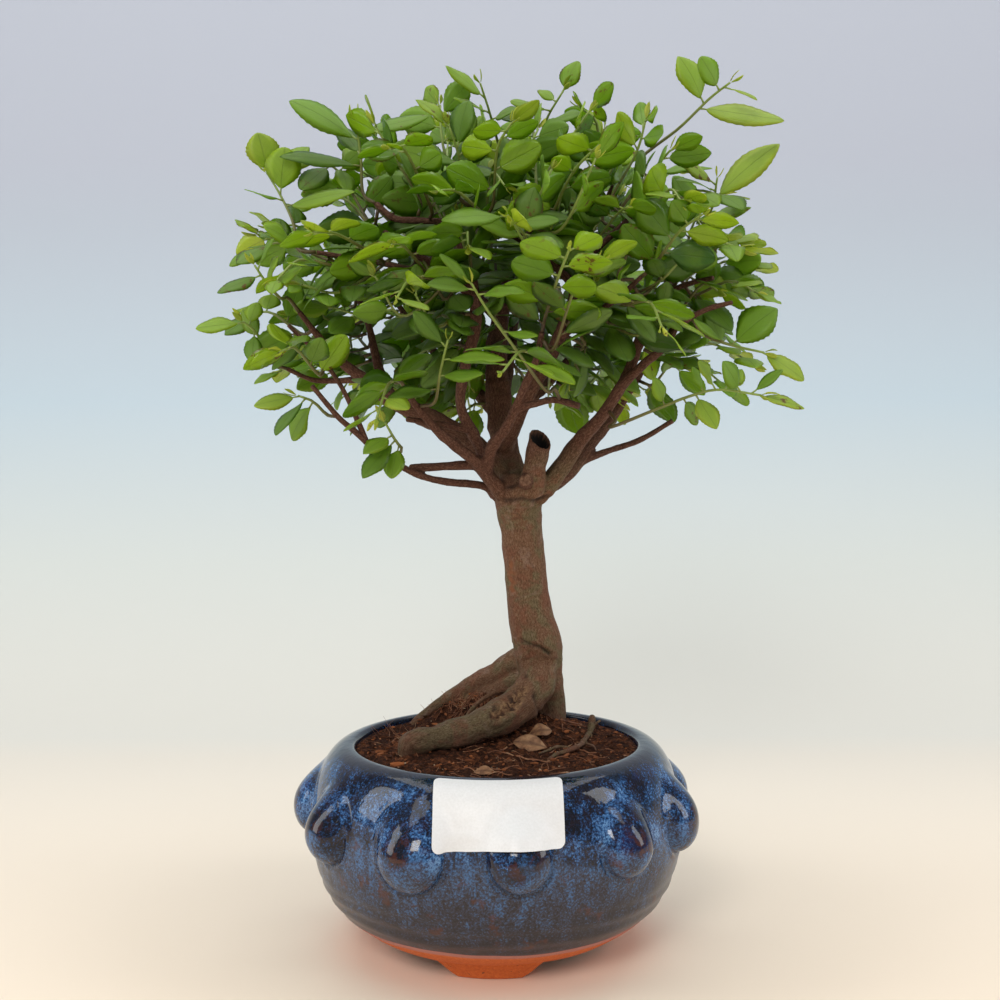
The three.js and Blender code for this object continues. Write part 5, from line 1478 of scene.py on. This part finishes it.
# Loose things on the soil
def soil_spots(draw, count, centre, spread):
    """Places on the soil, all over or about a centre."""
    spots = []
    most = SOIL_RADIUS - 0.8
    while len(spots) < count:
        angle = 2 * math.pi * draw()
        reach = spread * abs(draw() + draw() - 1) if spread else most * math.sqrt(draw())
        x, y = centre[0] + reach * math.cos(angle), centre[1] + reach * math.sin(angle)
        if math.hypot(x, y) < most:
            spots.append((x, y))
    return spots


def make_crumbs(finish):
    """Crumbs of bark and peat, angular and flattened."""
    bpy.ops.mesh.primitive_ico_sphere_add(subdivisions=1, radius=1, location=(0, 0, 0))
    shape, faces = parts_of(bpy.context.object)
    draw = seeded_draw(CRUMB_SEED)
    spots = [spot for group in CRUMB_GROUPS for spot in soil_spots(draw, *group)] + [PALE_CRUMB["at"]]
    heights = rough_ground_height(*np.array(spots).T)
    corners, shades = [], []
    for (x, y), height in zip(spots, heights):
        size = CRUMB_SIZES[0] + CRUMB_SIZES[1] * draw() ** 3.6
        shade = draw() ** 1.7 * 0.86
        if draw() > 1 - BRIGHT_CRUMBS:
            size, shade = 0.25 + 0.3 * draw(), 0.92 + 0.08 * draw()
        if (x, y) == PALE_CRUMB["at"]:
            size, shade = PALE_CRUMB["size"], PALE_CRUMB["shade"]
        jitter = np.array([[0.72 + 0.56 * draw()] for _ in shape])
        stretch = np.array([1 + 1.3 * draw() ** 2, 0.5 + 0.4 * draw(), 0.35 + 0.4 * draw()]) * size
        spin = Matrix.Rotation(2 * math.pi * draw(), 3, "Z")
        turn = spin @ Matrix.Rotation(0.9 * (draw() - 0.5), 3, "X")
        corners.append((shape * jitter * stretch) @ np.array(turn).T + [x, y, height + 0.25 * size])
        shades += [shade] * len(shape)
    crumbs = new_piece("soil_crumbs", np.vstack(corners), repeated(faces, len(spots), len(shape)))
    mark(crumbs, "shade", shades)
    finish_piece(crumbs, finish)


def wandering_line(start, turn, length, draw, lift, step=1.3):
    """A line over the soil that bends as it goes. With lift its end stands up."""
    x, y = start
    bend = 0.16 * (draw() - 0.5)
    flat = []
    for _ in range(max(3, int(length / step))):
        flat.append((x, y))
        ahead = math.hypot(x + step * math.cos(turn), y + step * math.sin(turn))
        if ahead > SOIL_RADIUS - 0.6 and lift < 1:
            turn += 1.2
        x += step * math.cos(turn)
        y += step * math.sin(turn)
        turn += bend + 0.7 * (draw() - 0.5)
    x, y = np.array(flat).T
    wave = 0.35 * abs(noise_at(x / 2.5, y / 2.5, 20))
    height = ground_height(x, y) + 0.45 + wave + lift * np.linspace(0, 1, len(flat)) ** 1.7
    return np.column_stack([x, y, height])


def make_fibres(finish):
    """Dry roots and hairs that lie over the soil, with some standing up."""
    draw = seeded_draw(FIBRE_SEED)
    spots = [soil_spots(draw, *group[:3]) for group in FIBRE_GROUPS]
    lines = []
    for starts, (*_, length, radius, lift) in zip(spots, FIBRE_GROUPS):
        for start in starts:
            turn = 2 * math.pi * draw()
            line = wandering_line(start, turn, length * (0.5 + draw()), draw, lift * (0.3 + draw()))
            size = radius * (0.7 + 0.6 * draw())
            lines.append((line, np.linspace(size, size * 0.45, len(line))))
    finish_piece(tubes("root_fibres", lines, roundness=0), finish)


def make_loose_root(bark):
    """A dead branching root on the soil, its upper end standing up."""
    lines = []
    for places, lifts, room, (thick, thin) in LOOSE_ROOT:
        x, y = np.array(places, float).T
        route = Route(np.column_stack([x, y, soil_height(x, y) + room + lifts]))
        shares = np.linspace(0, 1, int(route.length() / 0.7) + 2)
        places = route.at(shares)
        knots = 1 + 0.55 * noise_at(*places.T / 1.6)
        lines.append((places, np.linspace(thick, thin, len(shares)) * knots))
    root = tubes("dead_root", lines, roundness=3)
    local = local_corners(root)
    mark(root, "grain", local * [1, 0.4, 1], "FLOAT_VECTOR")
    mark(root, "thick", np.full(len(local), 5.0))
    smooth(root)
    finish_piece(root, bark, stands_for=["loose_root"])


def make_fallen_leaves(blade, finish):
    """Dead leaves on the soil, curled, from the same blade as the green ones."""
    places, faces = blade
    for name, plan in FALLEN_LEAVES.items():
        ends = np.array([plan["from"], plan["to"]], float)
        base, tip = np.column_stack([ends, soil_height(*ends.T) + plan["rise"]])
        leaf = {
            "base": base, "axis": unit(tip - base), "normal": unit(np.array([*plan["lean"], 1.0])),
            "length": np.linalg.norm(tip - base), "width": plan["width"],
        }
        curl = plan["curl"]
        habit = {
            "belly": 0.95, "base": 0.9, "tip": 1.05, "fold": 0.34, "arch": 0.35 * curl,
            "wave": 0.5 * curl, "waves": 1.3, "phase": 0.3 * len(name), "twist": 0.35 * curl,
        }
        dead = new_piece("dead_leaf_" + name, lay_blade(leaf, places, habit), faces)
        mark(dead, "across", abs(places[:, 0]))
        apply_modifier(dead, "SUBSURF", levels=1)
        smooth(dead)
        finish_piece(dead, finish, stands_for=["fallen_leaf_" + name])


# Wood
def limb_line(name, step=1.2):
    """Points and radii close together along a limb, with the swellings of real wood."""
    points = np.array(WOOD_SHAPES[name], float)
    route = Route(points[:, :3])
    shares = np.linspace(0, 1, max(4, int(route.length() / step)) + 1)
    radii = np.interp(shares * (len(points) - 1), range(len(points)), points[:, 3])
    places = route.at(shares)
    swell = SWELLING * noise_at(*places.T / 7)
    knots = KNOTS * np.maximum(0, noise_at(*places.T / 3.1) - 0.25)
    bark = np.interp(shares, *BARK_SWELL.get(name, ([0, 1], [1, 1])))
    lumpy = TRUNK_LUMPINESS if name == "trunk" else 1
    return places, radii * bark * (1 + lumpy * (swell + knots))


def make_wood(bark):
    thick, thin = [], []
    for name in WOOD_SHAPES:
        places, radii = limb_line(name)
        slim = radii < TWIG_RADIUS
        if slim[0]:
            thin.append((places, radii))
            continue
        end = int(np.argmax(slim)) if slim.any() else len(radii)
        thick.append((places[:max(end, 2)], radii[:max(end, 2)]))
        if end < len(radii) - 1:
            thin.append((places[end - 2:], radii[end - 2:]))
    wood = tubes("trunk_and_branches", thick, roundness=6)
    apply_modifier(wood, "REMESH", mode="VOXEL", voxel_size=WOOD_VOXEL, use_smooth_shade=True)
    apply_modifier(wood, "SMOOTH", factor=0.5, iterations=4)
    for piece in (wood, tubes("fine_twigs", thin, roundness=2)):
        grain_wood(piece)
        smooth(piece)
        finish_piece(piece, bark, stands_for=["tree"])


def wood_grain(corners):
    """For each corner, its place along the limb and round it, the limb's radius, and the way out."""
    centres, frames, radii = [], [], []
    for index, name in enumerate(WOOD_SHAPES):
        places, sizes = limb_line(name)
        steps = np.cumsum([0, *np.linalg.norm(np.diff(places, axis=0), axis=1)])
        across = ASKEW
        for tangent, step in zip(np.gradient(places, axis=0), steps):
            tangent = unit(tangent)
            across = square_to(across, tangent)
            frames.append((across, np.cross(tangent, across), tangent, step, index * 40))
        centres += list(places)
        radii += list(sizes)
    tree = kdtree.KDTree(len(centres))
    for i, centre in enumerate(centres):
        tree.insert(centre, i)
    tree.balance()
    grain, thick, out = np.zeros((len(corners), 3)), np.zeros(len(corners)), np.zeros((len(corners), 3))
    for i, corner in enumerate(corners):
        # The limb whose surface is nearest, among the nearest places
        near = min(tree.find_n(corner, 6), key=lambda hit: hit[2] - radii[hit[1]])[1]
        first, second, tangent, step, start = frames[near]
        offset = corner - centres[near]
        grain[i] = (offset.dot(first) + start, offset.dot(second), step + offset.dot(tangent))
        thick[i] = radii[near]
        out[i] = offset - tangent * offset.dot(tangent)
    out /= np.maximum(np.linalg.norm(out, axis=1), 1e-6)[:, None]
    return grain, thick, out


def grain_wood(piece):
    """Bark relief and marks, and the coordinates that its grain follows along each limb."""
    local = local_corners(piece)
    grain, thick, out = wood_grain(local)
    relief = FINE_RELIEF * noise_at(*(grain * [1.1, 1.1, 0.3]).T)
    relief += BROAD_RELIEF * noise_at(*(grain * [0.35, 0.35, 0.22]).T)
    # The trunk between the roots and the collar is smooth
    height = local[:, 2]
    relief *= 1 - 0.7 * progress(height, 100, 108) * progress(height, 154, 146)
    push, marks = wood_marks(local)
    push += relief * np.clip(thick / 6, 0.12, 1) * (1 - marks["patch"])
    moved = local + out * push[:, None]
    marks["hollow"], marks["cut"] = carve_stub(moved)
    set_corners(piece, to_frame(moved))
    mark(piece, "grain", grain, "FLOAT_VECTOR")
    mark(piece, "thick", thick)
    for name, values in marks.items():
        mark(piece, name, values)


def away_from_line(corners, line):
    """Distances from the corners to a line through points, where the depth counts for less."""
    corners, line = corners * MARK_REACH, np.array(line) * MARK_REACH
    best = np.full(len(corners), np.inf)
    for start, end in zip(line[:-1], line[1:]):
        run = end - start
        share = np.clip((corners - start) @ run / (run @ run), 0, 1)
        best = np.minimum(best, np.linalg.norm(corners - start - share[:, None] * run, axis=1))
    return best


def wood_marks(corners):
    """How far the bark is pushed in or out at its marks, and the marks themselves."""
    push = np.zeros(len(corners))
    crack = np.zeros(len(corners))
    for line, depth, width in CRACKS:
        away = away_from_line(corners, line)
        inside = bell(away, width)
        push -= depth * inside
        push += 0.45 * depth * bell(away - 2.2 * width, 1.2 * width)
        crack = np.maximum(crack, inside * 0.8)
    away = away_from_line(corners, WOUND)
    ragged = noise_at(*(corners * MARK_REACH).T / 1.7)
    wound = np.clip(1.1 - away / 2.5 + 0.7 * ragged, 0, 1)
    push += -1.6 * wound**2 + 0.8 * bell(away - 3.1, 1.1)
    patch = np.clip((1.7 - away_from_line(corners, PATCH) + 1.4 * ragged) / 1.2, 0, 1)
    return push, {"crack": crack, "wound": np.clip(wound * 1.4, 0, 1), "patch": patch}


def end_and_run(name):
    """A limb's end and the direction in which it runs there."""
    before, end = np.array(WOOD_SHAPES[name], float)[-2:, :3]
    return end, unit(end - before)


def carve_stub(corners):
    """Slants and hollows the cut stub's top in place. Returns how hollow and how cut each corner is."""
    top, rise = end_and_run("stub")
    offset = corners - top
    along = offset @ rise
    away = np.linalg.norm(offset - along[:, None] * rise, axis=1)
    face = (along > -1.2) & (away < 5)
    # Cut down towards the right and the front
    slant = offset @ unit(np.array([0.62, -0.78, 0.0]))
    corners -= STUB_SLANT * (progress(along, -8, 0) * (away < 6.5) * slant)[:, None] * rise
    bowl = np.clip(1 - away / 3.5, 0, 1)
    corners -= (face * STUB_HOLLOW * bowl**0.5)[:, None] * rise
    inside = np.clip(bowl * 25, 0, 1)
    cut = 0.3 * face * (1 - inside) * progress(along, -0.9, -0.3)
    for name in ("cut_twig", "cut_knot"):
        end, run = end_and_run(name)
        near = np.linalg.norm(corners - end, axis=1) < 3
        cut = np.maximum(cut, near * progress((corners - end) @ run, -0.35, -0.15))
    return face * inside, cut


# Leaves
def model_blade():
    """The corners and faces of one flat leaf blade, with x across and y along, from -1 to 1.

    Its second side lies at z = -1. A leaf's frame is left-handed, so that it becomes the upper one.
    """
    bpy.ops.mesh.primitive_grid_add(
        x_subdivisions=4, y_subdivisions=BLADE_ROWS, size=2, location=(0, 0, 0)
    )
    blade = bpy.context.object
    with editing(blade):
        for end in (-1, 1):
            pick_corners(blade, abs(corners_of(blade)[:, 1] - end) < 0.001)
            bpy.ops.mesh.merge(type="COLLAPSE")
        bpy.ops.mesh.select_all(action="DESELECT")
        bpy.ops.mesh.select_mode(type="EDGE")
        bpy.ops.mesh.select_non_manifold(extend=False)
        bpy.ops.mesh.subdivide(number_cuts=1, ngon=True, quadcorner="INNERVERT")
        bpy.ops.mesh.select_mode(type="VERT")
        bpy.ops.mesh.select_all(action="SELECT")
        bpy.ops.mesh.duplicate()
        bpy.ops.mesh.flip_normals()
    places = corners_of(blade)
    rim = (abs(places[:, 0]) > 0.51) | (abs(places[:, 1]) > 0.9)
    copied = np.zeros(len(places), bool)
    blade.data.vertices.foreach_get("select", copied)
    places[copied & ~rim, 2] = -1
    set_corners(blade, places)
    close_up(blade, 0.001)
    return parts_of(blade)


def stalk_length(leaf):
    return min(LONGEST_STALK, 0.14 * leaf["length"])


def lay_blade(leaf, places, habit):
    """The blade's corners on one leaf: folded along its rib, arched, waved and toothed."""
    along, up, side = leaf_frame(leaf)
    x, y, z = places.T
    share = (y + 1) / 2
    u = 0.45 * share + 0.275 * (1 - np.cos(np.pi * share))
    roundness = habit["base"] + (habit["tip"] - habit["base"]) * u
    widest = np.clip(np.sin(np.pi * u ** habit["belly"]), 0, 1) ** roundness
    rows = share * BLADE_ROWS
    between_rows = abs(rows - np.round(rows)) > 0.25
    tooth = np.where(abs(x) > 0.99, np.where(between_rows, TOOTH_OUT, TOOTH_IN), 1)
    across = x * widest * tooth * leaf["width"] / 2
    fold = habit["fold"] * (np.sqrt(across**2 + 0.3) - 0.55)
    arch = -habit["arch"] * leaf["length"] * (u - 0.35) ** 2
    swing = np.sin(2 * np.pi * (habit["waves"] * u + habit["phase"]))
    wave = habit["wave"] * swing * abs(x) * np.sin(np.pi * u)
    cup = -0.08 * abs(across) * abs(x)
    twist = habit["twist"] * across * (u - 0.3)
    lift = fold + arch + wave + cup + twist - z * BLADE_THICKNESS
    stalk = stalk_length(leaf)
    run = stalk + u * (leaf["length"] - stalk)
    return leaf["base"] + np.outer(run, along) + np.outer(across, side) + np.outer(lift, up)


def leaf_habit(draw):
    return {
        "belly": 0.84 + 0.36 * draw(), "base": 0.78 + 0.28 * draw(), "tip": 0.54 + 0.28 * draw(),
        "fold": 0.02 + 0.24 * draw() ** 1.4, "arch": 0.30 * draw() - 0.04, "wave": 0.45 * draw(),
        "waves": 1 + draw(), "phase": draw(), "twist": 0.5 * (draw() - 0.5),
    }


def bud_leaves(shoot, draw):
    """Two or three narrow young leaves, still folded, at a shoot's end."""
    tangent = shoot["route"].tangent(1)
    across = square_to(ASKEW, tangent)
    first = 2 * math.pi * draw()
    buds = []
    for i in range(2 + (draw() > 0.6)):
        out = turned_about(across, tangent, first + i * 2.4)
        axis = unit(tangent * 2.2 + out * (0.35 + 0.5 * draw()))
        length = 3.5 + 3.0 * draw()
        buds.append({
            "share": 1, "base": shoot["route"].at(0.99), "axis": axis, "normal": out, "length": length,
            "width": length * (0.26 + 0.12 * draw()), "bud": True,
        })
    return buds


def depth_in_crown(point):
    """0 in the crown's middle and 1 at its outside."""
    return np.linalg.norm((point - CROWN_CENTRE) / CROWN_RADII)


def make_blades(shoot, blade, draw):
    """A shoot's leaves and buds, with their tones."""
    places, faces = blade
    outermost = depth_in_crown(shoot["route"].points[-1]) > 0.9
    liveliness = 0.20 * (draw() - 0.5)
    corners, tones = [], []
    leaves = shoot["leaves"] + bud_leaves(shoot, draw)
    for leaf in leaves:
        is_bud = "bud" in leaf
        habit = leaf_habit(draw)
        if is_bud:
            habit.update(fold=0.9, wave=0)
        # Younger towards the shoot's end and at random. Deep in the crown the tone is also set darker as
        # painted shade, and at its outside lighter as painted light.
        depth = depth_in_crown(leaf["base"] + leaf["axis"] * leaf["length"] / 2)
        young = 0.40 + 0.30 * (leaf["share"] - 0.5) + 0.75 * (depth - 0.85)
        young += 0.62 * (draw() - 0.5) + liveliness
        young += 0.30 * max(0, leaf["share"] - 0.9) / 0.1 * outermost * draw()
        young = 0.92 + 0.08 * draw() if is_bud else min(0.85, max(0, young))
        tones += [(young, draw(), draw(), 1)] * len(places)
        size = 1.02 + 0.18 * draw()
        width = leaf["width"] * size * (0.88 + 0.14 * draw())
        corners.append(lay_blade({**leaf, "length": leaf["length"] * size, "width": width}, places, habit))
    name = shoot["name"].replace("shoot", "leafy_shoot")
    blades = new_piece(name, np.vstack(corners), repeated(faces, len(leaves), len(places)))
    mark(blades, "tone", tones, "FLOAT_COLOR")
    mark(blades, "upper", np.tile(places[:, 2] < 0, len(leaves)).astype(float))
    loops = np.zeros(len(blades.data.loops), int)
    blades.data.loops.foreach_get("vertex_index", loops)
    x, y, _ = places[loops % len(places)].T
    share = (y + 1) / 2
    uv = np.stack([0.5 + x / 2 * np.sin(np.pi * share), share], 1)
    blades.data.uv_layers.new(name="blade").data.foreach_set("uv", uv.ravel())
    return blades


def make_stem(shoot):
    """A shoot's green stem and its leaves' stalks."""
    route = shoot["route"]
    length = route.length()
    shares = np.linspace(0, 1, max(4, int(length / STEM_STEP)) + 1)
    lines = [(route.at(shares), np.linspace(*STEM_RADII, len(shares)))]
    for leaf in shoot["leaves"]:
        stalk = stalk_length(leaf)
        reach = [leaf["base"] + leaf["axis"] * run for run in (0, stalk * 0.6, stalk + 0.9)]
        lines.append((np.array(reach), STALK_RADII))
    stem = tubes(shoot["name"] + "_stem", lines)
    far = np.linalg.norm(local_corners(stem) - route.points[0], axis=1) / max(length, 1)
    mark(stem, "age", np.clip(far, 0, 1))
    return stem


def joined(pieces):
    hold(pieces[0])
    for piece in pieces[1:]:
        piece.select_set(True)
    bpy.ops.object.join()
    return pieces[0]


def make_shoot(shoot, blade, draw, leaf_material, stem_material, cad_node=None):
    """A green stem with stalks, blades and buds at its end, as one piece."""
    blades, stem = make_blades(shoot, blade, draw), make_stem(shoot)
    blades.data.materials.append(leaf_material)
    stem.data.materials.append(leaf_material)
    stem.data.materials.append(stem_material)
    stem.data.polygons.foreach_set("material_index", np.ones(len(stem.data.polygons), int))
    leafage = joined([blades, stem])
    smooth(leafage)
    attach(leafage, "root")
    if cad_node:
        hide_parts(cad_node)
    return leafage


def make_foliage(blade):
    materials = leaf_finish(), stem_finish()
    draw = seeded_draw(FOLIAGE_SEED)
    for shoot in all_shoots():
        make_shoot(shoot, blade, draw, *materials, cad_node=shoot["name"])
    for i, ring in enumerate(inner_shoots()):
        inner = joined([make_shoot(shoot, blade, draw, *materials) for shoot in ring])
        inner.name = f"inner_shoots_{i + 1}"


# Floor, light and camera
def make_stage():
    f = Finish("pale backdrop")
    _, depth, height = f.split("SeparateXYZ", f.place())
    # How far over the floor and then up the sheet it is
    run = f.number("MINIMUM", depth, FLOOR_BACK) + (height + FLOOR_BACK)
    colour = f.ramp(
        run, (0.0, (0.84, 0.71, 0.57)), (0.14, (0.98, 0.82, 0.64)), (0.55, (0.72, 0.670, 0.585)),
        (0.68, (0.62, 0.65, 0.62)), (0.80, (0.505, 0.600, 0.665)), (1.0, (0.49, 0.525, 0.610)),
    )
    bpy.ops.mesh.primitive_plane_add(size=FLOOR_SIZE, location=(0, 0, 0))
    floor = bpy.context.object
    floor.name = "floor_and_backdrop"
    turns = np.linspace(0, math.pi / 2, CURVE_STEPS + 1)
    curve = CURVE_RADIUS * np.column_stack([np.zeros(len(turns)), np.sin(turns), 1 - np.cos(turns)])
    with editing(floor):
        pick_corners(floor, corners_of(floor)[:, 1] > 0)
        bpy.ops.transform.translate(value=(0, FLOOR_BACK - FLOOR_SIZE / 2, 0))
        for step in [*np.diff(curve, axis=0), (0, 0, WALL_HEIGHT)]:
            bpy.ops.mesh.extrude_region_move(TRANSFORM_OT_translate={"value": tuple(step)})
    smooth(floor)
    floor.data.materials.append(f.set(Base_Color=colour, Roughness=0.8))


def area_light(name, place, size, power, colour):
    light = bpy.data.lights.new(name, "AREA")
    light.shape = "RECTANGLE"
    light.size, light.size_y = size
    light.energy = power
    light.color = colour
    lamp = bpy.data.objects.new(name, light)
    lamp.location = place
    lamp.rotation_euler = (Vector(LIGHT_AIM) - Vector(place)).to_track_quat("-Z", "Y").to_euler()
    bpy.context.scene.collection.objects.link(lamp)


def make_light():
    world = bpy.data.worlds.new("soft room")
    bpy.context.scene.world = world
    world.use_nodes = True
    background = world.node_tree.nodes["Background"]
    background.inputs["Color"].default_value = ROOM_COLOUR
    background.inputs["Strength"].default_value = ROOM_STRENGTH
    for name, lamp in LAMPS.items():
        area_light(name, *lamp)


def make_camera():
    data = bpy.data.cameras.new("camera")
    data.lens = CAMERA_LENS
    data.clip_start = 0.01
    camera = bpy.data.objects.new("camera", data)
    camera.location = to_frame([CAMERA_ASIDE, -CAMERA_DISTANCE, CAMERA_HEIGHT])
    turn = Matrix.Rotation(CAMERA_YAW, 4, "Z") @ Matrix.Rotation(math.pi / 2 - CAMERA_PITCH, 4, "X")
    camera.rotation_euler = (turn @ Matrix.Rotation(CAMERA_ROLL, 4, "Z")).to_euler()
    bpy.context.scene.collection.objects.link(camera)
    bpy.context.scene.camera = camera


bpy.context.scene.view_settings.view_transform = "Standard"
make_camera()
make_light()
make_stage()
make_pot(glaze_finish(), clay_finish())
make_label(paper_finish())
make_soil(soil_finish())
bark = bark_finish()
blade = model_blade()
make_crumbs(crumb_finish())
make_fibres(fibre_finish())
make_loose_root(bark)
make_fallen_leaves(blade, dead_leaf_finish())
make_wood(bark)
make_foliage(blade)

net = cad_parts["drain_net"].data
net.materials.clear()
net.materials.append(net_finish())
